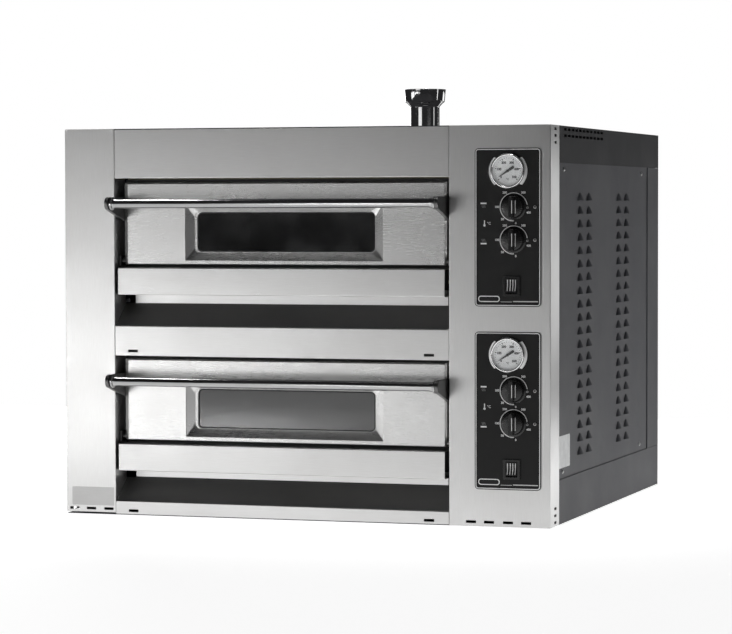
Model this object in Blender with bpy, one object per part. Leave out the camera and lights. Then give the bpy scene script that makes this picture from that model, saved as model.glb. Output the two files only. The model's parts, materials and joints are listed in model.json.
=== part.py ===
"""Two-deck electric pizza oven for a countertop: steel casing, two baking decks with drop-down doors.

Sizes are in millimetres on three drawing axes: x from the left side, y back from the front face and
z up from the worktop. spot() turns them into the scene's metres, with the origin under the middle of
the whole oven, handles and flue included.
"""
import math

import bmesh
import bpy
from mathutils import Matrix, Vector

# ---------------------------------------------------------------- driving dimensions
MM = 0.001
WIDTH = 976.0           # over the side returns, louvres not counted
DEPTH = 930.0           # front face to the back of the casing
BODY_TOP = 750.0        # worktop to the lid
DECK_PITCH = 342.0      # the lower deck repeats the upper one this far down
SHEET = 1.5             # casing sheet thickness
GAP = 0.3               # clearance kept between touching pieces

LEFT_PILLAR = 104.0     # right edge of the left pillar
RIGHT_PILLAR = 780.0    # left edge of the control pillar
SIDE_RETURN = 66.0      # how far the pillar covers turn round the corners
JAMB_DEPTH = 55.0       # how far the pillar covers turn in beside the doors
REAR_RETURN = 826.0     # where the rear cover's side returns begin
SKIRT_TOP = 85.0        # top of the base tray's skirt
LID_BOTTOM = 680.0      # bottom of the lid's side flanges

# the upper deck, front parts
DOOR_LEFT = 115.0
DOOR_RIGHT = 769.0
DOOR_BOTTOM = 487.0
DOOR_TOP = 646.0
DOOR_FACE = 22.0        # set back behind the pillars
DOOR_BACK = 54.3
BAND_LEFT = 111.8
BAND_RIGHT = 772.4
BAND_BOTTOM = 428.5
BAND_TOP = 481.5
BAND_FACE = -3.0        # stands just proud of the pillars
FRAME_FACE = 57.0       # the plate that the doors close against
THROAT_LIP = 368.0      # where the middle front panel starts to slope back
THROAT_TOP = 411.0
FRAME_LEG = 124.0       # left end of the plate where it shows under a band
TOP_PANEL_BOTTOM = 654.0
MIDDLE_PANEL_BOTTOM = 310.0

# window in a door
WINDOW_X = 443.0
WINDOW_Z = 550.0
WINDOW_SIZE = (400.0, 107.5)    # at the door's face
PANE_SIZE = (360.0, 75.0)       # at the bottom of the bevel
BEVEL_DEPTH = 14.0

# door hinge and handle
HINGE_Y = 30.0
HINGE_Z = 494.0
HINGE_ROD_R = 4.0
BAR_Y = -49.0
BAR_Z = 605.0
BAR_R = 9.0
BRACKET_THICK = 7.0
BRACKET_NOSE_R = 12.5

# baking chamber
CHAMBER_LEFT = 132.0
CHAMBER_RIGHT = 752.0
CHAMBER_BACK = 690.0
CHAMBER_FLOOR = 476.0
CHAMBER_CEILING = 632.0
CHAMBER_FRONT = 59.0
STONE_TOP = 506.0
STONE_THICK = 14.0
INSULATION = 22.0
HEATER_R = 4.0

# controls, upper deck
PLATE_X = (830.8, 958.4)
PLATE_Z = (412.0, 707.0)
PLATE_CORNER = 7.0
PLATE_FACE = -2.0 - GAP
GAUGE_X = 895.6
GAUGE_Z = 664.3
GAUGE_REST = -123.0     # degrees from upright, where the cold needle points
KNOB_X = 906.0
KNOB_Z = {"top_heat": 597.5, "bottom_heat": 536.2}
SWITCH_X = 902.3
SWITCH_Z = 450.7
SWITCH_PIVOT_Y = 1.0
SWITCH_TILT = math.radians(8.0)

# air louvres in a side panel
LOUVRE_COLUMNS = (234.0, 305.0, 561.0, 630.0)
LOUVRE_BOTTOM = 120.5
LOUVRE_PITCH = 25.75
LOUVRE_ROWS = 20
LOUVRE_LENGTH = 36.0
LOUVRE_REACH = 7.0      # how far a louvre stands out from its panel
LOUVRE_HEIGHT = 15.5

# flue
FLUE_X = 488.0
FLUE_Y = 813.0
FLUE_TOP = 851.0
VENT_Z = 590.0          # vent hole in a chamber's back

# back of the casing
BACK_Y = 903.0          # outer sheet, set in between the side fins
GLAND_X = 885.0
GLAND_Z = 150.0

ORIGIN_X = WIDTH / 2
ORIGIN_Y = (DEPTH + BAR_Y - BRACKET_NOSE_R) / 2
DECKS = (("upper", 0.0), ("lower", -DECK_PITCH))


# ---------------------------------------------------------------- materials
def material(name, colour, roughness, metallic=0.0, alpha=1.0):
    """A Principled BSDF material."""
    mat = bpy.data.materials.new(name)
    mat.use_nodes = True
    shader = mat.node_tree.nodes["Principled BSDF"]
    shader.inputs["Base Color"].default_value = (*colour, 1.0)
    shader.inputs["Roughness"].default_value = roughness
    shader.inputs["Metallic"].default_value = metallic
    shader.inputs["Alpha"].default_value = alpha
    mat.diffuse_color = (*colour, alpha)
    return mat


# ---------------------------------------------------------------- placing and building
def spot(x, y, z):
    """A drawing point as a scene position in metres."""
    return Vector((x - ORIGIN_X, y - ORIGIN_Y, z)) * MM


def piece(name, mesh_data, mat, pivot, smooth=False):
    """Make a named object from a bmesh in drawing millimetres, with its origin at pivot."""
    bmesh.ops.recalc_face_normals(mesh_data, faces=mesh_data.faces)
    bmesh.ops.translate(mesh_data, vec=-Vector(pivot), verts=mesh_data.verts)
    bmesh.ops.scale(mesh_data, vec=(MM, MM, MM), verts=mesh_data.verts)
    mesh = bpy.data.meshes.new(name)
    mesh_data.to_mesh(mesh)
    mesh_data.free()
    if smooth:
        mesh.shade_smooth()
        mesh.set_sharp_from_angle(angle=math.radians(35))
    if mat:
        mesh.materials.append(mat)
    obj = bpy.data.objects.new(name, mesh)
    obj.location = spot(*pivot)
    bpy.context.scene.collection.objects.link(obj)
    return obj


def tool(name, mesh_data, pivot):
    """A cutter or a joining shape, which is not part of the oven itself."""
    obj = piece(name, mesh_data, None, pivot)
    obj.hide_render = True
    obj.display_type = 'WIRE'
    return obj


def boolean(target, operand, operation):
    """Cut from or join to a piece with Blender's exact solver."""
    mod = target.modifiers.new(operation.lower(), 'BOOLEAN')
    mod.operation = operation
    mod.solver = 'EXACT'
    mod.object = operand


def cut(target, mesh_data, pivot):
    """Take a shape away from a piece."""
    boolean(target, tool("cutter_" + target.name, mesh_data, pivot), 'DIFFERENCE')


def join(target, mesh_data, pivot):
    """Weld a shape onto a piece."""
    boolean(target, tool("joiner_" + target.name, mesh_data, pivot), 'UNION')


def boxes(*corners):
    """One bmesh holding an axis-aligned box for each (low, high) pair of corners."""
    mesh_data = bmesh.new()
    for low, high in corners:
        low, high = Vector(low), Vector(high)
        size = high - low
        frame = Matrix.Translation((low + high) / 2) @ Matrix.Diagonal((*size, 1.0))
        bmesh.ops.create_cube(mesh_data, size=1.0, matrix=frame)
    return mesh_data


def box_piece(name, mat, pivot, first, *others):
    """A piece from one box with others welded to it. Each is a (low, high) pair."""
    obj = piece(name, boxes(first), mat, pivot)
    for other in others:
        join(obj, boxes(other), pivot)
    return obj


def prism(outline, axis, low, high):
    """Extrude an outline along an axis. The outline's points are (y, z), (x, z) or (x, y)."""
    place = {
        "x": lambda p, at: (at, p[0], p[1]),
        "y": lambda p, at: (p[0], at, p[1]),
        "z": lambda p, at: (p[0], p[1], at),
    }[axis]
    mesh_data = bmesh.new()
    base = mesh_data.faces.new([mesh_data.verts.new(place(p, low)) for p in outline])
    top = bmesh.ops.extrude_face_region(mesh_data, geom=[base])
    moved = [item for item in top["geom"] if isinstance(item, bmesh.types.BMVert)]
    step = Vector(place((0.0, 0.0), high - low))
    bmesh.ops.translate(mesh_data, vec=step, verts=moved)
    return mesh_data


def turned(profile, centre, axis, steps):
    """Turn a profile of (radius, height) about an axis through centre. Ends on the axis are closed."""
    mesh_data = bmesh.new()
    rings = []
    for radius, height in profile:
        if radius == 0.0:
            rings.append([mesh_data.verts.new((0.0, 0.0, height))])
            continue
        ring = []
        for step in range(steps):
            angle = math.tau * step / steps
            ring.append(mesh_data.verts.new((radius * math.cos(angle), radius * math.sin(angle), height)))
        rings.append(ring)
    loop = list(zip(rings, rings[1:]))
    if profile[0][0] > 0.0:
        loop.append((rings[-1], rings[0]))
    for one, two in loop:
        for step in range(steps):
            after = (step + 1) % steps
            quad = [one[step % len(one)], one[after % len(one)], two[after % len(two)], two[step % len(two)]]
            mesh_data.faces.new(list(dict.fromkeys(quad)))
    turn = {
        "z": Matrix.Identity(4),
        "y": Matrix.Rotation(math.radians(-90), 4, 'X'),
        "x": Matrix.Rotation(math.radians(90), 4, 'Y'),
    }[axis]
    bmesh.ops.transform(mesh_data, matrix=Matrix.Translation(centre) @ turn, verts=mesh_data.verts)
    return mesh_data


def rod(radius, centre, axis, length, steps):
    """A plain round bar starting at centre."""
    return turned([(0.0, 0.0), (radius, 0.0), (radius, length), (0.0, length)], centre, axis, steps)


def merged(*parts):
    """Several bmeshes as one."""
    whole = bmesh.new()
    for part in parts:
        mesh = bpy.data.meshes.new("scratch")
        part.to_mesh(mesh)
        part.free()
        whole.from_mesh(mesh)
        bpy.data.meshes.remove(mesh)
    return whole


def rounded_rectangle(centre, size, corner, steps=3):
    """The points of a rectangle with round corners, going round once."""
    half_w, half_h = size[0] / 2 - corner, size[1] / 2 - corner
    points = []
    for quarter, (sx, sz) in enumerate(((1, 1), (-1, 1), (-1, -1), (1, -1))):
        for step in range(steps + 1):
            angle = math.radians(90 * (quarter + step / steps))
            points.append((centre[0] + sx * half_w + corner * math.cos(angle),
                           centre[1] + sz * half_h + corner * math.sin(angle)))
    return points


def ring_of_loops(loops):
    """Bridge closed loops of 3-D points one to the next, and the last back to the first."""
    mesh_data = bmesh.new()
    rings = [[mesh_data.verts.new(p) for p in loop] for loop in loops]
    count = len(rings[0])
    for one, two in zip(rings, rings[1:] + rings[:1]):
        for step in range(count):
            after = (step + 1) % count
            mesh_data.faces.new((one[step], one[after], two[after], two[step]))
    return mesh_data


def folded(path, thickness):
    """The outline of a sheet that follows a path of (y, z) points, thick on the path's left side."""
    points = [Vector(p) for p in path]
    normals = []
    for one, two in zip(points, points[1:]):
        along = (two - one).normalized()
        normals.append(Vector((-along.y, along.x)))
    inner = []
    for index, point in enumerate(points):
        before = normals[max(index - 1, 0)]
        after = normals[min(index, len(normals) - 1)]
        middle = (before + after).normalized()
        inner.append(point + middle * thickness / max(middle.dot(before), 0.2))
    return [tuple(p) for p in points] + [tuple(p) for p in reversed(inner)]


def row(start, pitch, count):
    """Evenly spaced places."""
    return [start + pitch * index for index in range(count)]


# ---------------------------------------------------------------- casing
def side_slots(x_low, x_high, y_list, z_list, length, height):
    """Slot cutters through a side wall."""
    return boxes(*[((x_low, y - length / 2, z - height / 2), (x_high, y + length / 2, z + height / 2))
                   for y in y_list for z in z_list])


def front_slots(x_list, z, length=20.0, height=5.0):
    """Slot cutters through a front wall."""
    return boxes(*[((x - length / 2, -9.0, z - height / 2), (x + length / 2, 9.0, z + height / 2))
                   for x in x_list])


def base_tray(steel):
    """Floor of the casing, folded up into a skirt at the sides and the back."""
    pivot = (WIDTH / 2, DEPTH / 2, 0.0)
    start = SIDE_RETURN + GAP
    rear = BACK_Y + SHEET + GAP
    return box_piece(
        "base_tray", steel, pivot,
        ((0.0, start, 0.0), (WIDTH, DEPTH, SHEET)),
        ((SHEET + GAP, SHEET + GAP, 0.0), (WIDTH - SHEET - GAP, start + 1.0, SHEET)),
        ((0.0, start, 0.0), (SHEET, DEPTH, SKIRT_TOP)),
        ((WIDTH - SHEET, start, 0.0), (WIDTH, DEPTH, SKIRT_TOP)),
        ((SHEET / 2, rear, 0.5), (WIDTH - SHEET / 2, rear + SHEET, SKIRT_TOP)),
    )


def top_cover(steel):
    """Lid folded down at the sides and the back, with two rows of slots high on each side."""
    pivot = (WIDTH / 2, DEPTH / 2, BODY_TOP)
    start = SIDE_RETURN + GAP
    rear = BACK_Y + SHEET + GAP
    roof = BODY_TOP - SHEET
    obj = box_piece(
        "top_cover", steel, pivot,
        ((0.0, start, roof), (WIDTH, DEPTH, BODY_TOP)),
        ((SHEET + GAP, SHEET + GAP, roof), (WIDTH - SHEET - GAP, start + 1.0, BODY_TOP)),
        ((0.0, start, LID_BOTTOM), (SHEET, DEPTH, BODY_TOP)),
        ((WIDTH - SHEET, start, LID_BOTTOM), (WIDTH, DEPTH, BODY_TOP)),
        ((SHEET / 2, rear, LID_BOTTOM), (WIDTH - SHEET / 2, rear + SHEET, BODY_TOP - 0.5)),
    )
    along = row(113.0, 29.4, 11)
    for low in (-5.0, WIDTH - 5.0):
        cut(obj, side_slots(low, low + 10.0, along, (731.5, 743.5), 21.0, 5.0), pivot)
    cut(obj, rod(31.0, (FLUE_X, FLUE_Y, roof - 5.0), "z", 15.0, 24), pivot)
    return obj


def side_panel(name, x_low, outward, steel):
    """Flat side sheet, set in behind the lid and the skirt, with four columns of pressed air louvres."""
    pivot = (x_low, DEPTH / 2, BODY_TOP / 2)
    obj = piece(name, boxes(((x_low, 50.0, 60.0), (x_low + SHEET, 845.0, 705.0))), steel, pivot)
    face = x_low + SHEET if outward > 0 else x_low
    spots = [(y, z) for y in LOUVRE_COLUMNS for z in row(LOUVRE_BOTTOM, LOUVRE_PITCH, LOUVRE_ROWS)]
    join(obj, merged(*[hood(face, outward, y, z, -SHEET / 2, 0.0) for y, z in spots]), pivot)
    cut(obj, merged(*[hood(face, outward, y, z, -3.0 * SHEET, SHEET) for y, z in spots]), pivot)
    return obj


def hood(face, outward, y, z, back, wall):
    """Half-cone louvre, point up and open at the bottom, or with a wall thickness the hollow inside it."""
    length, reach, height = LOUVRE_LENGTH / 2 - wall, LOUVRE_REACH - wall, LOUVRE_HEIGHT - 2.0 * wall
    foot = z - wall / 2
    arc = [(y - length * math.cos(math.pi * step / 4), reach * math.sin(math.pi * step / 4)) for step in range(5)]
    mesh_data = bmesh.new()

    def point(at_y, out, at_z):
        return mesh_data.verts.new((face + outward * out, at_y, at_z))

    base = [point(at_y, out, foot) for at_y, out in arc]
    low = [point(y - length, back, foot), point(y + length, back, foot)]
    tip = [point(y, 0.0, z + height), point(y, back, z + height)]
    mesh_data.faces.new([low[0], *base, low[1]])
    for one, two in zip(base, base[1:]):
        mesh_data.faces.new((one, two, tip[0]))
    mesh_data.faces.new((low[0], base[0], tip[0], tip[1]))
    mesh_data.faces.new((base[-1], low[1], tip[1], tip[0]))
    mesh_data.faces.new((low[0], low[1], tip[1]))
    return mesh_data


def rear_cover(steel):
    """Back sheet set in from the edge, with side returns that wrap forward round the corners."""
    pivot = (WIDTH / 2, DEPTH, BODY_TOP / 2)
    low, high = SKIRT_TOP + GAP, LID_BOTTOM - GAP
    back = BACK_Y
    tuck = SHEET + 2 * GAP
    obj = box_piece(
        "rear_cover", steel, pivot,
        ((tuck, back, tuck), (WIDTH - tuck, back + SHEET, BODY_TOP - tuck)),
        ((0.5, back, low), (WIDTH - 0.5, back + SHEET, high)),
        ((0.0, REAR_RETURN, low), (SHEET, DEPTH, high)),
        ((WIDTH - SHEET, REAR_RETURN, low), (WIDTH, DEPTH, high)),
    )
    vents = row(180.0, 20.0, 12) + row(780.0, 20.0, 6)
    cut(obj, boxes(*[((x - 3.0, back - 9.0, 540.0), (x + 3.0, back + 9.0, 600.0)) for x in vents]), pivot)
    cut(obj, rod(10.4, (GLAND_X, back - 9.0, GLAND_Z), "y", 20.0, 20), pivot)
    return obj


def left_pillar(steel):
    """Front cover left of the doors: a face with a return round the corner and a jamb."""
    pivot = (LEFT_PILLAR / 2, 0.0, BODY_TOP / 2)
    low = 4.0
    obj = box_piece(
        "left_pillar_cover", steel, pivot,
        ((0.0, 0.0, low), (LEFT_PILLAR, SHEET, BODY_TOP)),
        ((0.0, 0.0, low), (SHEET, SIDE_RETURN, BODY_TOP)),
        ((LEFT_PILLAR - SHEET, 0.0, low), (LEFT_PILLAR, JAMB_DEPTH, BODY_TOP - SHEET - GAP)),
    )
    cut(obj, front_slots((17.0, 52.2, 89.0), 11.0, 19.5), pivot)
    cut(obj, return_slots(-5.0), pivot)
    return obj


def return_slots(x_low):
    """Three slots near the top and three near the bottom of a pillar's side return."""
    heights = (7.5, 20.5, 33.5, 717.5, 730.5, 743.0)
    return side_slots(x_low, x_low + 10.0, (38.0,), heights, 16.0, 5.0)


def control_pillar(steel):
    """Front cover that carries the controls, with cut-outs for what passes through it."""
    pivot = ((RIGHT_PILLAR + WIDTH) / 2, 0.0, BODY_TOP / 2)
    obj = box_piece(
        "control_pillar_cover", steel, pivot,
        ((RIGHT_PILLAR, 0.0, 0.0), (WIDTH, SHEET, BODY_TOP)),
        ((WIDTH - SHEET, 0.0, 0.0), (WIDTH, SIDE_RETURN, BODY_TOP)),
        ((RIGHT_PILLAR, 0.0, SHEET + GAP), (RIGHT_PILLAR + SHEET, JAMB_DEPTH, BODY_TOP - SHEET - GAP)),
    )
    cut(obj, front_slots((822.8, 857.8, 894.5, 929.3), 8.5, 19.5), pivot)
    cut(obj, return_slots(WIDTH - 5.0), pivot)
    for _, drop in DECKS:
        cut(obj, control_holes(drop), pivot)
    return obj


def control_holes(drop):
    """Holes shared by the pillar and the control plate of one deck."""
    shafts = [rod(5.0, (KNOB_X, -9.0, z + drop), "y", 18.0, 12) for z in KNOB_Z.values()]
    gauge_hole = rod(27.5, (GAUGE_X, -9.0, GAUGE_Z + drop), "y", 18.0, 20)
    switch = boxes(((SWITCH_X - 13.0, -9.0, SWITCH_Z + drop - 16.0),
                    (SWITCH_X + 13.0, 9.0, SWITCH_Z + drop + 16.0)))
    return merged(gauge_hole, switch, *shafts)


def top_front_panel(steel):
    """Front strip over the upper door, with a fold along its bottom edge."""
    left, right = LEFT_PILLAR + GAP, RIGHT_PILLAR - GAP
    pivot = (WINDOW_X, 0.0, TOP_PANEL_BOTTOM)
    path = [(30.0, TOP_PANEL_BOTTOM), (0.0, TOP_PANEL_BOTTOM), (0.0, BODY_TOP - SHEET - GAP)]
    return piece("top_front_panel", prism(folded(path, -SHEET), "x", left, right), steel, pivot)


def throat_panel(name, steel, drop, fold):
    """Front strip under a deck: upright face, then a slope running back under the ledge band."""
    left, right = LEFT_PILLAR + GAP, RIGHT_PILLAR - GAP
    pivot = (WINDOW_X, 0.0, THROAT_LIP + drop)
    low = MIDDLE_PANEL_BOTTOM if fold else SHEET + GAP
    path = [(0.0, low), (0.0, THROAT_LIP + drop), (FRAME_FACE - 1.0, THROAT_TOP + drop)]
    if fold:
        path.insert(0, (30.0, low))
    obj = piece(name, prism(folded(path, -SHEET), "x", left, right), steel, pivot)
    cut(obj, front_slots((141.0, 740.8), low + 9.5 if fold else 8.5), pivot)
    return obj


def front_frame(steel):
    """Plate behind the doors with both chamber mouths, and ears that take the hinge rods."""
    back = FRAME_FACE + SHEET
    pivot = (WINDOW_X, FRAME_FACE, BODY_TOP / 2)
    left, right = LEFT_PILLAR + 1.5, RIGHT_PILLAR - 1.5
    obj = box_piece(
        "front_frame", steel, pivot,
        ((left, FRAME_FACE, 85.5), (right, back, 652.0)),
        ((FRAME_LEG, FRAME_FACE, 70.0), (2 * WINDOW_X - FRAME_LEG, back, 86.0)),
    )
    notches = []
    for side in ((left - 1.0, FRAME_LEG), (2 * WINDOW_X - FRAME_LEG, right + 1.0)):
        notches.append(((side[0], FRAME_FACE - 5.0, THROAT_TOP), (side[1], back + 5.0, BAND_BOTTOM + 30.0)))
    cut(obj, boxes(*notches), pivot)
    for _, drop in DECKS:
        z = HINGE_Z + drop
        for low, high in ((left, left + 3.0), (right - 3.0, right)):
            join(obj, boxes(((low, HINGE_Y - 10.0, z - 10.0), (high, back, z + 10.0))), pivot)
        mouth = ((CHAMBER_LEFT, 50.0, STONE_TOP + drop), (CHAMBER_RIGHT, 70.0, 630.0 + drop))
        cut(obj, boxes(mouth), pivot)
        cut(obj, rod(HINGE_ROD_R + GAP, (left - 5.0, HINGE_Y, z), "x", right - left + 10.0, 16), pivot)
    return obj


def ledge_band(name, steel, drop):
    """Channel under a door that the open door rests over."""
    pivot = (WINDOW_X, BAND_FACE, BAND_TOP + drop)
    back = FRAME_FACE - GAP
    path = [(back, BAND_BOTTOM + drop), (BAND_FACE, BAND_BOTTOM + drop),
            (BAND_FACE, BAND_TOP + drop), (back, BAND_TOP + drop)]
    return piece(name, prism(folded(path, -SHEET), "x", BAND_LEFT, BAND_RIGHT), steel, pivot)


def compartment_wall(steel):
    """Upright wall that keeps the chambers' heat away from the controls."""
    low = (786.0, 64.0, SHEET + GAP)
    high = (786.0 + SHEET, 890.0, BODY_TOP - SHEET - GAP)
    return piece("compartment_wall", boxes((low, high)), steel, low)


# ---------------------------------------------------------------- baking chambers
def chamber(name, steel, drop):
    """Liner open at the front, with ledges that carry the stone and a vent in its back."""
    floor, ceiling = CHAMBER_FLOOR + drop, CHAMBER_CEILING + drop
    pivot = (WINDOW_X, CHAMBER_FRONT, floor)
    obj = piece(name, boxes(((CHAMBER_LEFT - SHEET, CHAMBER_FRONT, floor - SHEET),
                             (CHAMBER_RIGHT + SHEET, CHAMBER_BACK + SHEET, ceiling + SHEET))), steel, pivot)
    cut(obj, boxes(((CHAMBER_LEFT, 0.0, floor), (CHAMBER_RIGHT, CHAMBER_BACK, ceiling))), pivot)
    under = STONE_TOP - STONE_THICK - GAP + drop
    for low, high in ((CHAMBER_LEFT - 1.0, CHAMBER_LEFT + 14.0), (CHAMBER_RIGHT - 14.0, CHAMBER_RIGHT + 1.0)):
        join(obj, boxes(((low, CHAMBER_FRONT, under - SHEET), (high, CHAMBER_BACK + 1.0, under))), pivot)
    cut(obj, back_holes(drop), pivot)
    return obj


def back_holes(drop):
    """Holes through a chamber's back and its insulation, for the vent and the heater ends."""
    ends = [rod(6.0, (x, CHAMBER_BACK - 20.0, z + drop), "y", 60.0, 12)
            for x in heater_ends() for z in (heater_height("bottom"), heater_height("top"))]
    vent = rod(18.0, (FLUE_X, CHAMBER_BACK - 20.0, VENT_Z + drop), "y", 60.0, 20)
    return merged(vent, *ends)


def stone(name, ceramic, drop):
    """Refractory baking stone lying on the chamber's ledges."""
    low = (CHAMBER_LEFT + 2.0, CHAMBER_FRONT + 3.0, STONE_TOP - STONE_THICK + drop)
    high = (CHAMBER_RIGHT - 2.0, CHAMBER_BACK - 3.0, STONE_TOP + drop)
    return piece(name, boxes((low, high)), ceramic, low)


def heater_height(which):
    """Centre height of a heating element in the upper deck."""
    return CHAMBER_CEILING - 9.0 if which == "top" else CHAMBER_FLOOR + 7.5


def heater_ends():
    """Where an element's two ends leave through the back."""
    return CHAMBER_LEFT + 40.0, CHAMBER_RIGHT - 40.0


def heater(name, sheath, drop, which):
    """Sheathed element bent back and forth across the chamber, both ends out through its back."""
    z = heater_height(which) + drop
    left, right = heater_ends()
    runs = 8
    pitch = (right - left) / (runs - 1)
    bend = pitch / 2
    near, far = CHAMBER_FRONT + 45.0 + bend, CHAMBER_BACK - 30.0 - bend
    points = [(left, CHAMBER_BACK + 15.0)]
    for run in range(runs - 1):
        x = left + pitch * run
        at_front = run % 2 == 0
        y = near if at_front else far
        for step in range(5):
            angle = math.pi * step / 4
            side = -1.0 if at_front else 1.0
            points.append((x + bend - bend * math.cos(angle), y + side * bend * math.sin(angle)))
    points.append((right, CHAMBER_BACK + 15.0))
    curve = bpy.data.curves.new(name, 'CURVE')
    curve.dimensions = '3D'
    curve.bevel_depth = HEATER_R * MM
    curve.bevel_resolution = 1
    curve.use_fill_caps = True
    spline = curve.splines.new('POLY')
    spline.points.add(len(points) - 1)
    pivot = (left, CHAMBER_BACK, z)
    for target, (x, y) in zip(spline.points, points):
        target.co = (*((Vector((x, y, z)) - Vector(pivot)) * MM), 1.0)
    curve.materials.append(sheath)
    obj = bpy.data.objects.new(name, curve)
    obj.location = spot(*pivot)
    bpy.context.scene.collection.objects.link(obj)
    return obj


def insulation(name, wool, drop):
    """Jacket round a chamber's four sides and back, open at the front."""
    pad = SHEET + GAP
    low = Vector((CHAMBER_LEFT - pad, CHAMBER_FRONT - 9.0, CHAMBER_FLOOR - pad + drop))
    high = Vector((CHAMBER_RIGHT + pad, CHAMBER_BACK + pad, CHAMBER_CEILING + pad + drop))
    grow = Vector((INSULATION, 0.0, INSULATION))
    outer_low = low - grow
    outer_low.y = CHAMBER_FRONT
    outer_high = high + grow + Vector((0.0, INSULATION, 0.0))
    pivot = tuple(outer_low)
    obj = piece(name, boxes((outer_low, outer_high)), wool, pivot)
    cut(obj, boxes((low, high)), pivot)
    cut(obj, back_holes(drop), pivot)
    return obj


# ---------------------------------------------------------------- flue
def flue(chrome):
    """Polished funnel on the lid, open right through, on a pipe that drops through the lid."""
    outside = [(30.5, -40.0), (30.5, 63.5), (33.0, 66.5), (42.3, 75.0), (46.5, FLUE_TOP - BODY_TOP)]
    inside = [(44.5, FLUE_TOP - BODY_TOP), (40.5, 76.2), (28.5, 65.5), (28.5, -40.0)]
    centre = (FLUE_X, FLUE_Y, BODY_TOP)
    return piece("flue", turned(outside + inside, centre, "z", 28), chrome, centre, smooth=True)


def flue_duct(steel):
    """Vertical duct behind the chambers, with a stub into the back of each."""
    centre = (FLUE_X, FLUE_Y, 200.0)
    half = 36.0
    low, high = VENT_Z - DECK_PITCH - 45.0, 709.0
    obj = piece("vent_duct", boxes(((FLUE_X - half, FLUE_Y - half, low), (FLUE_X + half, FLUE_Y + half, high))),
                steel, centre)
    reach = FLUE_Y - half - (CHAMBER_BACK + SHEET + GAP) + 1.0
    for _, drop in DECKS:
        join(obj, rod(17.0, (FLUE_X, CHAMBER_BACK + SHEET + GAP, VENT_Z + drop), "y", reach, 20), centre)
    wall = 1.2
    cut(obj, boxes(((FLUE_X - half + wall, FLUE_Y - half + wall, low + wall),
                    (FLUE_X + half - wall, FLUE_Y + half - wall, high + 9.0))), centre)
    for _, drop in DECKS:
        cut(obj, rod(15.5, (FLUE_X, CHAMBER_BACK, VENT_Z + drop), "y", reach + 9.0, 20), centre)
    return obj


# ---------------------------------------------------------------- doors
def door(deck, drop, mats):
    """Everything that swings on one door's hinge rod."""
    pivot = (WINDOW_X, HINGE_Y, HINGE_Z + drop)
    parts = [
        door_skin(deck + "_door_skin", mats["steel"], drop, pivot),
        door_glass(deck + "_door_glass", mats["glass"], drop, pivot),
        door_inner(deck + "_door_inner_panel", mats["steel"], drop, pivot),
        handle_bar(deck + "_handle_bar", mats["chrome"], drop, pivot),
        hinge_rod(deck + "_hinge_rod", mats["chrome"], drop, pivot),
    ]
    sides = (("left", DOOR_LEFT - GAP - BRACKET_THICK), ("right", DOOR_RIGHT + GAP))
    for side, x in sides:
        parts.append(bracket("%s_handle_bracket_%s" % (deck, side), mats["chrome"], x, drop, pivot))
    hinge = bpy.data.objects.new(deck + "_door_hinge_axis", None)
    hinge.location = spot(*pivot)
    bpy.context.scene.collection.objects.link(hinge)
    for part in parts:
        part.parent = hinge
        part.location = (0.0, 0.0, 0.0)
        for mod in part.modifiers:
            mod.object.parent = hinge
            mod.object.location = (0.0, 0.0, 0.0)


def window_loop(size, corner, y, drop):
    """One loop of a window surround, as 3-D points."""
    outline = rounded_rectangle((WINDOW_X, WINDOW_Z + drop), size, corner)
    return [(x, y, z) for x, z in outline]


def door_skin(name, steel, drop, pivot):
    """Outer door tray with soft side edges and a bevelled window surround."""
    low, high = DOOR_BOTTOM + drop, DOOR_TOP + drop
    back = DOOR_BACK - SHEET - GAP
    soft = 4.0
    outline = [(DOOR_LEFT, back), (DOOR_LEFT, DOOR_FACE + soft)]
    for step in range(1, 4):
        angle = math.radians(90 * step / 3)
        outline.append((DOOR_LEFT + soft - soft * math.cos(angle), DOOR_FACE + soft - soft * math.sin(angle)))
    mirror = [(DOOR_LEFT + DOOR_RIGHT - x, y) for x, y in reversed(outline)]
    obj = piece(name, prism(outline + mirror, "z", low, high), steel, pivot)
    cut(obj, boxes(((DOOR_LEFT + SHEET, DOOR_FACE + SHEET, low + SHEET),
                    (DOOR_RIGHT - SHEET, back + 9.0, high - SHEET))), pivot)
    face_hole = rounded_rectangle((WINDOW_X, WINDOW_Z + drop), (WINDOW_SIZE[0] - 3, WINDOW_SIZE[1] - 3), 10.5)
    cut(obj, prism(face_hole, "y", DOOR_FACE - 5.0, DOOR_FACE + 5.0), pivot)
    width, height = WINDOW_SIZE
    pane_w, pane_h = PANE_SIZE
    deep = DOOR_FACE + BEVEL_DEPTH
    surround = ring_of_loops([
        window_loop((width, height), 12.0, DOOR_FACE + 0.1, drop),
        window_loop((pane_w, pane_h), 8.0, deep, drop),
        window_loop((pane_w, pane_h), 8.0, deep + 2.0, drop),
        window_loop((pane_w + 8.0, pane_h + 8.0), 12.0, deep + 2.0, drop),
        window_loop((width + 4.0, height + 4.0), 14.0, DOOR_FACE + 0.8, drop),
    ])
    join(obj, surround, pivot)
    holes = rod(HINGE_ROD_R + GAP, (DOOR_LEFT - 5.0, HINGE_Y, HINGE_Z + drop), "x",
                DOOR_RIGHT - DOOR_LEFT + 10.0, 16)
    cut(obj, holes, pivot)
    return obj


def door_glass(name, glass, drop, pivot):
    """Heat-proof pane behind the surround."""
    front = DOOR_FACE + BEVEL_DEPTH + 2.0 + GAP
    outline = rounded_rectangle((WINDOW_X, WINDOW_Z + drop), (PANE_SIZE[0] + 20.0, PANE_SIZE[1] + 18.0), 10.0)
    return piece(name, prism(outline, "y", front, front + 4.0), glass, pivot)


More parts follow.
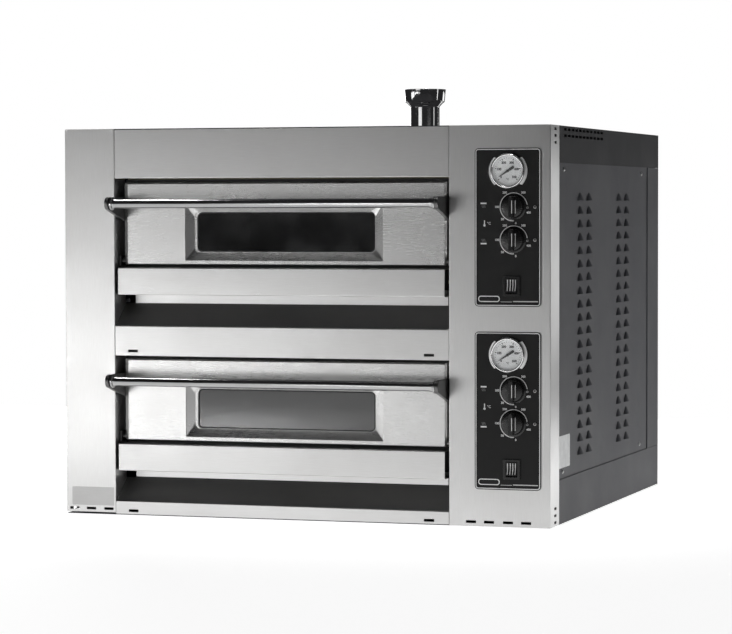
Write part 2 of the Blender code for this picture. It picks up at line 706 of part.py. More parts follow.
def door_inner(name, steel, drop, pivot):
    """Inner door panel, folded forward round the pane and open over the window."""
    low, high = DOOR_BOTTOM + 1.0 + drop, DOOR_TOP - 1.0 + drop
    front, back = DOOR_BACK - SHEET, DOOR_BACK
    obj = piece(name, boxes(((DOOR_LEFT + 1.0, front, low), (DOOR_RIGHT - 1.0, back, high))), steel, pivot)
    grip = DOOR_FACE + BEVEL_DEPTH + 2.0 + GAP + 4.0 + GAP
    width, height = PANE_SIZE
    join(obj, ring_of_loops([
        window_loop((width, height), 8.0, back, drop),
        window_loop((width, height), 8.0, grip, drop),
        window_loop((width + 3.0, height + 3.0), 9.5, grip, drop),
        window_loop((width + 3.0, height + 3.0), 9.5, back - 0.2, drop),
    ]), pivot)
    opening = rounded_rectangle((WINDOW_X, WINDOW_Z + drop), (width, height), 8.0)
    cut(obj, prism(opening, "y", grip - 5.0, back + 5.0), pivot)
    return obj


def bracket_reach():
    """Inner faces of the two handle brackets."""
    return DOOR_LEFT - GAP, DOOR_RIGHT + GAP


def handle_bar(name, chrome, drop, pivot):
    """Round pull bar with a collar at each end, between the two brackets."""
    left, right = bracket_reach()
    start, length = left + GAP, right - left - 2 * GAP
    collar, wide = 12.0, BAR_R + 3.0
    profile = [(0.0, 0.0), (wide - 1.0, 0.0), (wide, 1.0), (wide, collar - 5.0), (BAR_R, collar),
               (BAR_R, length - collar), (wide, length - collar + 5.0), (wide, length - 1.0),
               (wide - 1.0, length), (0.0, length)]
    centre = (start, BAR_Y, BAR_Z + drop)
    return piece(name, turned(profile, centre, "x", 16), chrome, pivot, smooth=True)


def bracket(name, chrome, x, drop, pivot):
    """Flat arm beside the door, round at the bar and deeper where it meets the door."""
    nose = BRACKET_NOSE_R
    z = BAR_Z + drop
    outline = []
    for step in range(8):
        angle = math.radians(90 + 22.5 * step)
        outline.append((BAR_Y + nose * math.cos(angle), z + nose * math.sin(angle)))
    outline += [(DOOR_FACE + 2.0, z - 33.0), (DOOR_BACK - 4.0, z - 33.0), (DOOR_BACK - 4.0, z + nose)]
    return piece(name, prism(outline, "x", x, x + BRACKET_THICK), chrome, pivot)


def hinge_rod(name, steel, drop, pivot):
    """Rod across the bottom of the door, its ends in the frame's ears."""
    left, right = LEFT_PILLAR + 1.6, RIGHT_PILLAR - 1.6
    return piece(name, rod(HINGE_ROD_R, (left, HINGE_Y, HINGE_Z + drop), "x", right - left, 16), steel, pivot,
                 smooth=True)


# ---------------------------------------------------------------- controls
def control_plate(name, black, drop):
    """Thin control plate with round corners, in front of the pillar."""
    centre = (sum(PLATE_X) / 2, sum(PLATE_Z) / 2 + drop)
    size = (PLATE_X[1] - PLATE_X[0], PLATE_Z[1] - PLATE_Z[0])
    pivot = (centre[0], -GAP, centre[1])
    obj = piece(name, prism(rounded_rectangle(centre, size, PLATE_CORNER), "y", -2.0 - GAP, -GAP), black, pivot)
    cut(obj, control_holes(drop), pivot)
    return obj


def gauge(name, chrome, drop):
    """Dial thermometer case: body behind the pillar, flange and rim in front, open dish for the needle."""
    centre = (GAUGE_X, PLATE_FACE - GAP, GAUGE_Z + drop)
    profile = [(0.0, 28.0), (26.5, 28.0), (26.5, 0.0), (33.0, 0.0), (33.0, -7.0), (31.0, -9.5), (28.5, -9.5),
               (28.0, -3.0), (0.0, -3.0)]
    obj = piece(name, turned(profile, centre, "y", 28), chrome, centre, smooth=True)
    ear_r, ear_half = 37.0, 44.0
    angles = [math.radians(side - ear_half + ear_half * step / 4) for side in (0, 180) for step in range(9)]
    ears = [(GAUGE_X + ear_r * math.cos(a), GAUGE_Z + drop + ear_r * math.sin(a)) for a in angles]
    join(obj, prism(ears, "y", centre[1] - 1.5, centre[1]), centre)
    return obj


def gauge_needle(name, black, drop):
    """Pointer with a counterweight tail, at rest on the lowest mark."""
    centre = (GAUGE_X, PLATE_FACE - GAP - 5.0, GAUGE_Z + drop)
    hub = rod(2.6, (centre[0], centre[1] - 0.7, centre[2]), "y", 1.4, 12)
    obj = piece(name, hub, black, centre)
    angle = math.radians(GAUGE_REST)
    tip = Vector((math.sin(angle), math.cos(angle)))
    side = Vector((tip.y, -tip.x))
    middle = Vector((centre[0], centre[2]))
    outline = [middle + tip * 20.0, middle + side * 1.2, middle - tip * 13.0 + side * 1.8,
               middle - tip * 13.0 - side * 1.8, middle - side * 1.2]
    join(obj, prism([tuple(p) for p in outline], "y", centre[1] - 0.4, centre[1] + 0.4), centre)
    return obj


def knob(name, plastic, drop, z):
    """Round thermostat knob with an upright grip and a blind bore for its shaft."""
    centre = (KNOB_X, PLATE_FACE - GAP, z + drop)
    profile = [(0.0, -12.0), (3.3, -12.0), (3.3, 0.0), (24.5, 0.0), (24.5, -3.5), (21.0, -14.0),
               (19.5, -15.0), (0.0, -15.0)]
    obj = piece(name, turned(profile, centre, "y", 24), plastic, centre, smooth=True)
    grip = rounded_rectangle((centre[0], centre[2]), (9.0, 38.0), 3.0, 2)
    join(obj, prism(grip, "y", centre[1] - 24.0, centre[1] - 14.0), centre)
    return obj


def thermostat(name, plastic, drop, z):
    """Capillary thermostat behind the pillar, with its shaft in the knob's bore."""
    centre = (KNOB_X, SHEET + GAP, z + drop)
    obj = piece(name, boxes(((KNOB_X - 19.0, SHEET + GAP, z + drop - 21.0),
                             (KNOB_X + 19.0, 38.0, z + drop + 21.0))), plastic, centre)
    join(obj, rod(3.0, (KNOB_X, PLATE_FACE - 10.0, z + drop), "y", 20.0, 12), centre)
    return obj


def switch_body(name, plastic, drop):
    """Switch housing clipped into the plate, with a frame in front and a well for the rocker."""
    z = SWITCH_Z + drop
    pivot = (SWITCH_X, PLATE_FACE, z)
    obj = box_piece(
        name, plastic, pivot,
        ((SWITCH_X - 16.3, PLATE_FACE - GAP - 2.5, z - 18.5), (SWITCH_X + 16.3, PLATE_FACE - GAP, z + 18.5)),
        ((SWITCH_X - 12.6, PLATE_FACE - 1.0, z - 15.6), (SWITCH_X + 12.6, 24.0, z + 15.6)),
    )
    cut(obj, boxes(((SWITCH_X - 11.0, PLATE_FACE - 9.0, z - 14.2),
                    (SWITCH_X + 11.0, SWITCH_PIVOT_Y + 8.0, z + 14.2))), pivot)
    return obj


def switch_rocker(name, plastic, drop):
    """Rocker with a shallow valley across its front, at rest tipped one way."""
    z = SWITCH_Z + drop
    pivot = (SWITCH_X, SWITCH_PIVOT_Y, z)
    outline = [(-8.5, 12.2), (-6.5, 0.0), (-8.5, -12.2), (-4.0, -12.6), (4.0, -6.0), (4.0, 6.0), (-4.0, 12.6)]
    cos, sin = math.cos(-SWITCH_TILT), math.sin(-SWITCH_TILT)
    tipped = [(SWITCH_PIVOT_Y + y * cos - h * sin, z + y * sin + h * cos) for y, h in outline]
    return piece(name, prism(tipped, "x", SWITCH_X - 10.5, SWITCH_X + 10.5), plastic, pivot)


# ---------------------------------------------------------------- electrics at the back
def cable_gland(plastic):
    """Gland in the rear cover that the supply cable would come through."""
    profile = [(10.0, -8.0), (10.0, SHEET + GAP), (14.0, SHEET + GAP), (14.0, 10.0), (11.5, 12.0), (10.0, 22.0),
               (6.5, 22.0), (6.5, -8.0)]
    centre = (GLAND_X, BACK_Y, GLAND_Z)
    return piece("cable_gland", turned(profile, centre, "y", 16), plastic, centre, smooth=True)


def terminal_block(plastic):
    """Supply terminals on a foot that stands on the casing floor."""
    low = (845.0, 800.0, SHEET + GAP)
    return box_piece(
        "terminal_block", plastic, low,
        (low, (925.0, 870.0, 5.0)),
        ((850.0, 810.0, 4.0), (920.0, 850.0, 40.0)),
        ((850.0, 822.0, 39.0), (920.0, 838.0, 46.0)),
    )


# ---------------------------------------------------------------- the whole oven
def main():
    for old in list(bpy.data.objects):
        bpy.data.objects.remove(old, do_unlink=True)
    mats = {
        "steel": material("brushed_stainless", (0.62, 0.61, 0.60), 0.34, 1.0),
        "dark": material("anthracite_paint", (0.045, 0.046, 0.050), 0.5),
        "chrome": material("polished_steel", (0.80, 0.80, 0.80), 0.10, 1.0),
        "liner": material("aluminised_steel", (0.50, 0.49, 0.46), 0.45, 1.0),
        "glass": material("door_glass", (0.05, 0.06, 0.06), 0.05, 0.0, 0.35),
        "stone": material("refractory_stone", (0.72, 0.62, 0.48), 0.9),
        "wool": material("mineral_wool", (0.75, 0.70, 0.50), 1.0),
        "sheath": material("heater_sheath", (0.16, 0.13, 0.12), 0.5, 0.8),
        "plate": material("control_plate_black", (0.012, 0.012, 0.013), 0.35),
        "plastic": material("black_plastic", (0.010, 0.010, 0.010), 0.25),
        "phenolic": material("grey_plastic", (0.30, 0.30, 0.29), 0.6),
    }
    base_tray(mats["dark"])
    top_cover(mats["dark"])
    side_panel("left_side_panel", SHEET + GAP, -1, mats["dark"])
    side_panel("right_side_panel", WIDTH - 2 * SHEET - GAP, 1, mats["dark"])
    rear_cover(mats["dark"])
    left_pillar(mats["steel"])
    control_pillar(mats["steel"])
    top_front_panel(mats["steel"])
    throat_panel("middle_front_panel", mats["steel"], 0.0, True)
    throat_panel("bottom_front_panel", mats["steel"], -DECK_PITCH, False)
    front_frame(mats["steel"])
    compartment_wall(mats["liner"])
    flue(mats["chrome"])
    flue_duct(mats["liner"])
    cable_gland(mats["plastic"])
    terminal_block(mats["phenolic"])
    for deck, drop in DECKS:
        ledge_band(deck + "_ledge_band", mats["steel"], drop)
        chamber(deck + "_chamber", mats["liner"], drop)
        stone(deck + "_baking_stone", mats["stone"], drop)
        insulation(deck + "_insulation", mats["wool"], drop)
        for which in ("top", "bottom"):
            heater("%s_%s_heater" % (deck, which), mats["sheath"], drop, which)
        door(deck, drop, mats)
        control_plate(deck + "_control_plate", mats["plate"], drop)
        gauge(deck + "_gauge", mats["chrome"], drop)
        gauge_needle(deck + "_gauge_needle", mats["plastic"], drop)
        for which, z in KNOB_Z.items():
            knob("%s_%s_knob" % (deck, which), mats["plastic"], drop, z)
            thermostat("%s_%s_thermostat" % (deck, which), mats["phenolic"], drop, z)
        switch_body(deck + "_switch_body", mats["plastic"], drop)
        switch_rocker(deck + "_switch_rocker", mats["plastic"], drop)


main()
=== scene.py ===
"""Looks of the two-deck countertop pizza oven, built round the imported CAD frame.

Literal sizes are in millimetres, except in the studio. Sheet-metal parts are finer copies of their CAD
solids, with fold radii and deburred edges. The doors, louvres, handles, gauges, knobs, flue and small
fittings are modelled here in full.
"""
import json
import math

import bmesh
import bpy
from mathutils import Matrix, Vector


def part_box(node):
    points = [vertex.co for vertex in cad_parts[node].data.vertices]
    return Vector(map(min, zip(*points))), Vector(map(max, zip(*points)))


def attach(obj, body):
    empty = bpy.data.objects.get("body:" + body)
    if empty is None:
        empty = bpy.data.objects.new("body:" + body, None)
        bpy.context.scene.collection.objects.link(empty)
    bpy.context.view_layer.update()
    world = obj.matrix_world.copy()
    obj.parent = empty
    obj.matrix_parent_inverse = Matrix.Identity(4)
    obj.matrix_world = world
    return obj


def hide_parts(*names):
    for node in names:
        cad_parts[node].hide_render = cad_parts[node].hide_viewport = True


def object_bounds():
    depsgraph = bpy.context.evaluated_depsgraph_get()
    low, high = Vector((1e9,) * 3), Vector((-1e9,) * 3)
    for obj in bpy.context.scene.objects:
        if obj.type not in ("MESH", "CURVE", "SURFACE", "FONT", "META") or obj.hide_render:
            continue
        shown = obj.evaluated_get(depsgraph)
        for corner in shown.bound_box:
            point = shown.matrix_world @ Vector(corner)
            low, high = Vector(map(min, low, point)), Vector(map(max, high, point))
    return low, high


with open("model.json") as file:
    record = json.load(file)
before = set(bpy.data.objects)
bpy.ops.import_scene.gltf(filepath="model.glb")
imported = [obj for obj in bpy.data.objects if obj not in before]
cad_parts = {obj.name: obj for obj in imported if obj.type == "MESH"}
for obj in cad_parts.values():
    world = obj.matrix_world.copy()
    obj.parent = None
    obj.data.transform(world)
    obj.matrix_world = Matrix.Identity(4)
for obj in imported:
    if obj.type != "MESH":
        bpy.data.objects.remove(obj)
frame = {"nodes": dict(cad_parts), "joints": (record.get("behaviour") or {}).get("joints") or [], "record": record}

MM = 0.001
CAD_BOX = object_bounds()
NODES = frame["nodes"]
BODIES = frame["record"]["behaviour"]["bodies"]
BODY_OF = {node: body for body, nodes in BODIES.items() for node in nodes}
DECKS = ("upper", "lower")


def near(origin, *offsets):
    """Points at offsets in millimetres from an origin in metres."""
    return [tuple(start + value * MM for start, value in zip(origin, offset)) for offset in offsets]


def middle_of(node):
    """The middle of a CAD node's box."""
    low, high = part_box(node)
    return (low + high) / 2


def pivot_of(body):
    """The place of a body's joint."""
    return [Vector(joint["pos_m"]) for joint in frame["joints"] if joint["child"] == body][0]


# ---------------- material nodes
def new_material(name, **values):
    """A Principled BSDF material. Keyword names are socket names with _ for a space."""
    mat = bpy.data.materials.new(name)
    mat.use_nodes = True
    shader = mat.node_tree.nodes["Principled BSDF"]
    for key, value in values.items():
        shader.inputs[key.replace("_", " ")].default_value = value
    return mat


def add(mat, kind, inputs, **settings):
    """Add a shader node. An input is a plain value, or a socket to link from."""
    node = mat.node_tree.nodes.new(kind)
    for key, value in settings.items():
        setattr(node, key, value)
    for key, value in inputs.items():
        if isinstance(value, bpy.types.NodeSocket):
            mat.node_tree.links.new(value, node.inputs[key])
        else:
            node.inputs[key].default_value = value
    return node


def feed(mat, key, socket):
    """Link a socket to the Principled shader."""
    mat.node_tree.links.new(socket, mat.node_tree.nodes["Principled BSDF"].inputs[key])


def noise(mat, scale, detail, roughness):
    """Noise over the object's own coordinates. Scale is per metre, one value or one for each axis."""
    place = add(mat, "ShaderNodeTexCoord", {}).outputs["Object"]
    if not isinstance(scale, (int, float)):
        place = add(mat, "ShaderNodeMapping", {"Vector": place, "Scale": scale}).outputs["Vector"]
        scale = 1.0
    inputs = {"Vector": place, "Scale": scale, "Detail": detail, "Roughness": roughness}
    return add(mat, "ShaderNodeTexNoise", inputs).outputs["Fac"]


def spread(mat, fac, low=0.0, high=1.0, start=0.3, end=0.7):
    """Map a noise's middle range to low..high."""
    inputs = {"Value": fac, "From Min": start, "From Max": end, "To Min": low, "To Max": high}
    return add(mat, "ShaderNodeMapRange", inputs).outputs["Result"]


def blend(mat, fac, one, two, kind="MIX"):
    """Mix two colours by a factor."""
    node = add(mat, "ShaderNodeMix", {"Factor": fac}, data_type="RGBA", blend_type=kind)
    for key, colour in (("A", one), ("B", two)):
        socket = [s for s in node.inputs if s.name == key and s.type == "RGBA"][0]
        if isinstance(colour, bpy.types.NodeSocket):
            mat.node_tree.links.new(colour, socket)
        else:
            socket.default_value = (*colour, 1.0)
    return [s for s in node.outputs if s.type == "RGBA"][0]


def surface(mat, colour, rough, height=None, strength=0.0, distance=0.0):
    """Link a material's colour and roughness, and its bump from a height in metres."""
    feed(mat, "Base Color", colour)
    feed(mat, "Roughness", rough)
    if height:
        node = add(mat, "ShaderNodeBump", {"Height": height, "Strength": strength, "Distance": distance})
        feed(mat, "Normal", node.outputs["Normal"])
    return mat


def grey(value, tint=(1.0, 1.0, 1.0)):
    """A near-grey colour."""
    return tuple(value * channel for channel in tint)


# ---------------- materials
def brushed_steel(name, tone, grain, roughness=0.3, relief=0.07):
    """Stainless sheet brushed along one axis, with faint handling smudges."""
    mat = new_material(name, Metallic=1.0, Anisotropic=0.35)
    fine = {"x": (28.0, 1400.0, 1400.0), "z": (1400.0, 1400.0, 28.0)}[grain]
    streaks = noise(mat, fine, 4.0, 0.65)
    smudges = noise(mat, 5.5, 4.0, 0.6)
    steel = blend(mat, spread(mat, streaks), grey(tone * 0.955, (1.0, 0.995, 0.985)),
                  grey(tone * 1.035, (1.0, 1.0, 0.995)))
    soil = blend(mat, spread(mat, smudges, 0.0, 0.35, 0.45, 0.8), (1.0, 1.0, 1.0), (0.84, 0.83, 0.82))
    soiled = blend(mat, 1.0, steel, soil, "MULTIPLY")
    rough = add(mat, "ShaderNodeMath", {0: spread(mat, streaks, roughness - 0.025, roughness + 0.025),
                                        1: spread(mat, smudges, -0.01, 0.05)}, operation="ADD")
    return surface(mat, soiled, rough.outputs["Value"], streaks, relief, 0.00006)


def powder_coat(name, colour, roughness, shine=0.5):
    """Fine orange-peel powder coat, a little rubbed and dusty."""
    mat = new_material(name, Specular_IOR_Level=shine)
    peel = noise(mat, 1500.0, 2.0, 0.5)
    cloud = noise(mat, 7.0, 4.0, 0.6)
    speck = noise(mat, 900.0, 1.0, 0.4)
    base = blend(mat, spread(mat, cloud), [channel * 0.86 for channel in colour],
                 [channel * 1.18 for channel in colour])
    flecked = blend(mat, spread(mat, speck, 0.0, 0.25, 0.56, 0.72), base,
                    [channel * 2.1 for channel in colour])
    return surface(mat, flecked, spread(mat, cloud, roughness - 0.05, roughness + 0.07), peel, 0.35, 0.00010)


def polished(name, tone, roughness, grain=(1200.0, 1200.0, 1200.0)):
    """Polished steel with hairlines left by the buffing wheel."""
    mat = new_material(name, Metallic=1.0)
    lines = noise(mat, grain, 3.0, 0.6)
    haze = noise(mat, 18.0, 3.0, 0.55)
    colour = blend(mat, spread(mat, haze), grey(tone * 0.94), grey(tone * 1.02))
    return surface(mat, colour, spread(mat, lines, roughness * 0.75, roughness * 1.45), lines, 0.05, 0.00004)


def aluminised(name):
    """Chamber lining: aluminised steel with crystal spangle and straw-coloured heat tint."""
    mat = new_material(name, Metallic=1.0)
    place = add(mat, "ShaderNodeTexCoord", {}).outputs["Object"]
    cells = add(mat, "ShaderNodeTexVoronoi", {"Vector": place, "Scale": 130.0, "Randomness": 1.0})
    cells = cells.outputs["Distance"]
    tint = noise(mat, 6.0, 4.0, 0.6)
    spangle = blend(mat, spread(mat, cells, 0.0, 1.0, 0.1, 0.9), grey(0.50), grey(0.40))
    heated = blend(mat, spread(mat, tint, 0.0, 0.8, 0.42, 0.72), spangle, (0.32, 0.24, 0.15))
    return surface(mat, heated, spread(mat, tint, 0.38, 0.56), cells, 0.06, 0.00015)


def refractory(name):
    """Fired baking stone: sandy, pitted, and scorched in patches."""
    mat = new_material(name, Specular_IOR_Level=0.25)
    sand = noise(mat, 420.0, 6.0, 0.7)
    scorch = noise(mat, 9.0, 5.0, 0.65)
    grit = noise(mat, 1300.0, 2.0, 0.5)
    base = blend(mat, spread(mat, sand), (0.50, 0.40, 0.28), (0.68, 0.58, 0.44))
    dark = blend(mat, spread(mat, grit, 0.0, 0.7, 0.58, 0.7), base, (0.20, 0.15, 0.10))
    burnt = blend(mat, spread(mat, scorch, 0.0, 0.65, 0.5, 0.78), dark, (0.16, 0.11, 0.08))
    return surface(mat, burnt, spread(mat, sand, 0.82, 0.96), sand, 0.6, 0.0004)


def mineral_wool(name):
    """Loose glassy fibres of the chamber's insulation."""
    mat = new_material(name, Specular_IOR_Level=0.2)
    fibres = noise(mat, (160.0, 900.0, 900.0), 6.0, 0.75)
    lumps = noise(mat, 35.0, 4.0, 0.6)
    colour = blend(mat, spread(mat, fibres), (0.58, 0.52, 0.30), (0.86, 0.81, 0.62))
    return surface(mat, colour, spread(mat, lumps, 0.9, 1.0), fibres, 0.8, 0.0012)


def heated_sheath(name):
    """Heating element sheath, oxidised brown and blue by use."""
    mat = new_material(name, Metallic=0.85)
    scale = noise(mat, 55.0, 5.0, 0.65)
    colour = blend(mat, spread(mat, scale), (0.13, 0.10, 0.085), (0.24, 0.17, 0.13))
    return surface(mat, colour, spread(mat, scale, 0.38, 0.62), scale, 0.2, 0.0002)


def smoked_glass(name, alpha, tone):
    """Dark heat-proof glass, slightly greasy."""
    mat = new_material(name, Alpha=alpha, IOR=1.62, Specular_IOR_Level=0.75)
    film = noise(mat, 14.0, 4.0, 0.6)
    colour = blend(mat, spread(mat, film), grey(tone), grey(tone * 1.7, (1.0, 1.02, 1.04)))
    return surface(mat, colour, spread(mat, film, 0.03, 0.09))


def clear_lens(name):
    """Thin clear cover over a dial."""
    mat = new_material(name, Alpha=0.05, Base_Color=(0.9, 0.92, 0.93, 1.0), IOR=1.45)
    film = noise(mat, 60.0, 3.0, 0.6)
    feed(mat, "Roughness", spread(mat, film, 0.02, 0.07))
    return mat


def moulded(name, tone, roughness, grain=1700.0, strength=0.18, shine=0.5):
    """Moulded plastic or enamel with a fine skin texture. A single tone is a grey."""
    mat = new_material(name, Specular_IOR_Level=shine)
    skin = noise(mat, grain, 2.0, 0.5)
    cloud = noise(mat, 60.0, 3.0, 0.6)
    tone = (tone,) * 3 if isinstance(tone, float) else tone
    colour = blend(mat, spread(mat, cloud), [channel * 0.88 for channel in tone],
                   [min(channel * 1.08, 1.0) for channel in tone])
    rough = spread(mat, skin, roughness - 0.05, roughness + 0.06)
    return surface(mat, colour, rough, skin, strength, 0.00006)


def pale_floor(name):
    """Plain matt floor table, lit from within so that it stays pale."""
    mat = new_material(name, Roughness=0.75, Specular_IOR_Level=0.2, Emission_Color=(1.0, 1.0, 1.0, 1.0),
                       Emission_Strength=0.9)
    mottle = noise(mat, 3.0, 2.0, 0.5)
    feed(mat, "Base Color", blend(mat, spread(mat, mottle), grey(0.88), grey(0.90)))
    return mat


MATS = {
    "pillar": brushed_steel("brushed_steel_pillar", 0.68, "z"),
    "panel": brushed_steel("brushed_steel_panel", 0.68, "x"),
    "door": brushed_steel("brushed_steel_door", 0.68, "x", 0.26, 0.014),
    # Dark steel for the front frame: painted shade of the gaps round the doors.
    "frame": brushed_steel("painted_shade_frame", 0.10, "x", 0.5),
    # Darker steel for the sloping throats: painted shade of the recesses.
    "throat": brushed_steel("painted_shade_throat", 0.22, "x", 0.42),
    "inner": brushed_steel("brushed_steel_inner", 0.60, "x", 0.34),
    "paint": powder_coat("anthracite_powder_coat", (0.041, 0.042, 0.048), 0.56),
    "lid_paint": powder_coat("anthracite_lid_coat", (0.028, 0.028, 0.030), 0.60, 0.22),
    "chrome": polished("polished_flue", 0.82, 0.06),
    "bar": polished("polished_bar", 0.42, 0.16, (40.0, 1600.0, 1600.0)),
    "bracket": brushed_steel("satin_bracket", 0.15, "z", 0.36),
    "bezel": polished("polished_bezel", 0.84, 0.15),
    "flange": polished("satin_flange", 0.92, 0.38),
    "fastener": polished("zinc_fastener", 0.45, 0.30),
    "liner": aluminised("aluminised_liner"),
    "stone": refractory("refractory_stone"),
    "wool": mineral_wool("mineral_wool_jacket"),
    "sheath": heated_sheath("oxidised_sheath"),
    "glass": smoked_glass("smoked_door_glass", 0.90, 0.011),
    "lens": clear_lens("dial_lens"),
    "plate": moulded("control_plate_satin_black", 0.0045, 0.5, 2200.0, 0.12, 0.32),
    "plastic": moulded("black_phenolic", 0.006, 0.24),
    "gasket": moulded("black_gasket", 0.004, 0.6, 900.0),
    "rocker": moulded("rocker_black", 0.007, 0.32),
    "phenolic": moulded("grey_thermoset", 0.30, 0.6, 700.0),
    "ink": moulded("white_ink", 0.86, 0.6, 900.0, 0.05),
    "pale_ink": moulded("pale_ink", 0.60, 0.6, 900.0, 0.05),
    "grey_ink": moulded("grey_ink", 0.16, 0.6, 900.0, 0.05),
    "dial": moulded("dial_enamel", (0.92, 0.93, 0.94), 0.45, 900.0, 0.03),
    "dial_ink": moulded("dial_black_ink", 0.012, 0.5, 900.0, 0.03),
    "label": moulded("label_foil", (0.70, 0.71, 0.71), 0.42, 600.0, 0.08),
    "badge": brushed_steel("badge_foil", 0.52, "x", 0.4),
    "lamp": moulded("pilot_lamp_smoke", (0.05, 0.045, 0.04), 0.12, 400.0, 0.02),
    "floor": pale_floor("studio_floor"),
}


# ---------------- pieces
def new_object(name, data):
    """An object in the scene."""
    obj = bpy.data.objects.new(name, data)
    bpy.context.scene.collection.objects.link(obj)
    return obj


def mesh_of(name, mesh_data):
    """A mesh made from a bmesh, which is freed."""
    mesh = bpy.data.meshes.new(name)
    mesh_data.to_mesh(mesh)
    mesh_data.free()
    return mesh


def make(name, mesh_data, mat, node=None, body=None, sharp=35.0, weighted=False):
    """Make a piece from a bmesh, in place of a CAD node if one is given, riding on that node's body."""
    bmesh.ops.recalc_face_normals(mesh_data, faces=mesh_data.faces)
    mesh = mesh_of(name, mesh_data)
    mesh.shade_smooth()
    mesh.set_sharp_from_angle(angle=math.radians(sharp))
    mesh.materials.append(MATS[mat])
    obj = new_object(name, mesh)
    if weighted:
        obj.modifiers.new("weighted", "WEIGHTED_NORMAL").keep_sharp = True
    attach(obj, body or BODY_OF.get(node, "housing"))
    if node:
        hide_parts(node)
    return obj


def is_fold(edge, area):
    """True on a long outer edge between two large faces, which is a fold and not a cut edge."""
    faces = edge.link_faces
    return edge.is_convex and edge.calc_length() > 30 * MM and min(f.calc_area() for f in faces) > area


def round_edges(mesh_data, edges, width, segments):
    """Bevel some edges by a width in millimetres."""
    bmesh.ops.bevel(mesh_data, geom=edges, offset=width * MM, offset_type="OFFSET", segments=segments,
                    profile=0.5, affect="EDGES", clamp_overlap=True)


def sharp_edges(mesh_data, angle):
    """Edges where two faces meet at more than an angle."""
    edges = [edge for edge in mesh_data.edges if len(edge.link_faces) == 2]
    return [edge for edge in edges if edge.calc_face_angle() > math.radians(angle)]


def refined(node, mat, edge=0.35, fold=1.3, fold_area=0.0016, cuts=()):
    """A finer copy of a CAD solid: folds get their bend radius, and cut edges are deburred."""
    mesh_data = bmesh.new()
    mesh_data.from_mesh(NODES[node].data)
    bmesh.ops.remove_doubles(mesh_data, verts=mesh_data.verts, dist=0.004 * MM)
    bmesh.ops.dissolve_limit(mesh_data, angle_limit=math.radians(0.6), verts=mesh_data.verts,
                             edges=mesh_data.edges)
    if fold:
        round_edges(mesh_data, [e for e in sharp_edges(mesh_data, 50.0) if is_fold(e, fold_area)], fold, 4)
    round_edges(mesh_data, sharp_edges(mesh_data, 40.0), edge, 2)
    for place, normal in cuts:
        everything = mesh_data.verts[:] + mesh_data.edges[:] + mesh_data.faces[:]
        bmesh.ops.bisect_plane(mesh_data, geom=everything, plane_co=place, plane_no=normal)
    return make(node + "_finish", mesh_data, mat, node, sharp=50.0, weighted=True)


def finish_node(node, mat):
    """Give a CAD solid that stays a finished material."""
    data = NODES[node].data
    data.materials.clear()
    data.materials.append(MATS[mat])


# ---------------- shapes
def placed(mesh_data, place, turn, scale=MM):
    """Scale a bmesh, turn it and move it to its place."""
    matrix = Matrix.Translation(place) @ turn @ Matrix.Scale(scale, 4)
    bmesh.ops.transform(mesh_data, matrix=matrix, verts=mesh_data.verts)
    return mesh_data


def fillet(points, radius, steps):
    """An open run of 2-D points with its inner corners rounded, less where a side is short."""
    points = [Vector(p) for p in points]
    out = [points[0]]
    for before, corner, after in zip(points, points[1:], points[2:]):
        reach = min(radius, (before - corner).length * 0.45, (after - corner).length * 0.45)
        start = corner + (before - corner).normalized() * reach
        end = corner + (after - corner).normalized() * reach
        for step in range(steps + 1):
            t = step / steps
            out.append(start * (1 - t) ** 2 + corner * 2 * t * (1 - t) + end * t ** 2)
    return out + [points[-1]]


def turned(profile, centre, axis, steps, ripple=None):
    """Turn a profile of (radius, height) in millimetres about an axis. ripple adds to the radius."""
    mesh_data = bmesh.new()
    rings = []
    for radius, height in profile:
        ring = []
        for step in range(steps if radius else 1):
            angle = math.tau * step / steps
            r = radius + (ripple(angle, height) if ripple and radius else 0.0)
            ring.append(mesh_data.verts.new((r * math.cos(angle), r * math.sin(angle), height)))
        rings.append(ring)
    if len(rings[0]) > 1:
        rings.append(rings[0])
    for one, two in zip(rings, rings[1:]):
        for step in range(steps):
            after = (step + 1) % steps
            quad = [one[step % len(one)], one[after % len(one)], two[after % len(two)], two[step % len(two)]]
            mesh_data.faces.new(list(dict.fromkeys(quad)))
    turn = {"z": Matrix.Identity(4), "y": Matrix.Rotation(math.radians(-90), 4, "X"),
            "x": Matrix.Rotation(math.radians(90), 4, "Y")}[axis]
    return placed(mesh_data, centre, turn)


def rounded_rectangle(centre, size, corner, steps=6):
    """The (x, z) outline of a rectangle about a centre. Its size and round corners are in millimetres."""
    half_w, half_h = size[0] / 2 - corner, size[1] / 2 - corner
    points = []
    for quarter, (sx, sz) in enumerate(((1, 1), (-1, 1), (-1, -1), (1, -1))):
        for step in range(steps + 1):
            angle = math.radians(90 * (quarter + step / steps))
            points.append((sx * half_w + corner * math.cos(angle), sz * half_h + corner * math.sin(angle)))
    return near(centre, *points)


def bridge(mesh_data, rings, closed=True):
    """Quads from each ring of vertices to the next."""
    for one, two in zip(rings, rings[1:]):
        for step in range(len(one) if closed else len(one) - 1):
            after = (step + 1) % len(one)
            mesh_data.faces.new((one[step], one[after], two[after], two[step]))


def loft(loops, close=False, caps=False):
    """Join loops of 3-D points, each to the next, and the last to the first if close is set."""
    mesh_data = bmesh.new()
    rings = [[mesh_data.verts.new(point) for point in loop] for loop in loops]
    bridge(mesh_data, rings + rings[:1] if close else rings)
    if caps:
        mesh_data.faces.new(rings[0])
        mesh_data.faces.new(rings[-1])
    return mesh_data


def upright(outline, y):
    """An (x, z) outline as 3-D points."""
    return [(x, y, z) for x, z in outline]


def raised(outline, y_front, y_back):
    """A flat shape standing on a panel: an (x, z) outline pushed forward."""
    return loft([upright(outline, y_back), upright(outline, y_front)], caps=True)


def band(outer, inner, y_front, y_back):
    """A flat line between two outlines, as a closed solid."""
    lines = ((outer, y_back), (outer, y_front), (inner, y_front), (inner, y_back))
    return loft([upright(*line) for line in lines], close=True)


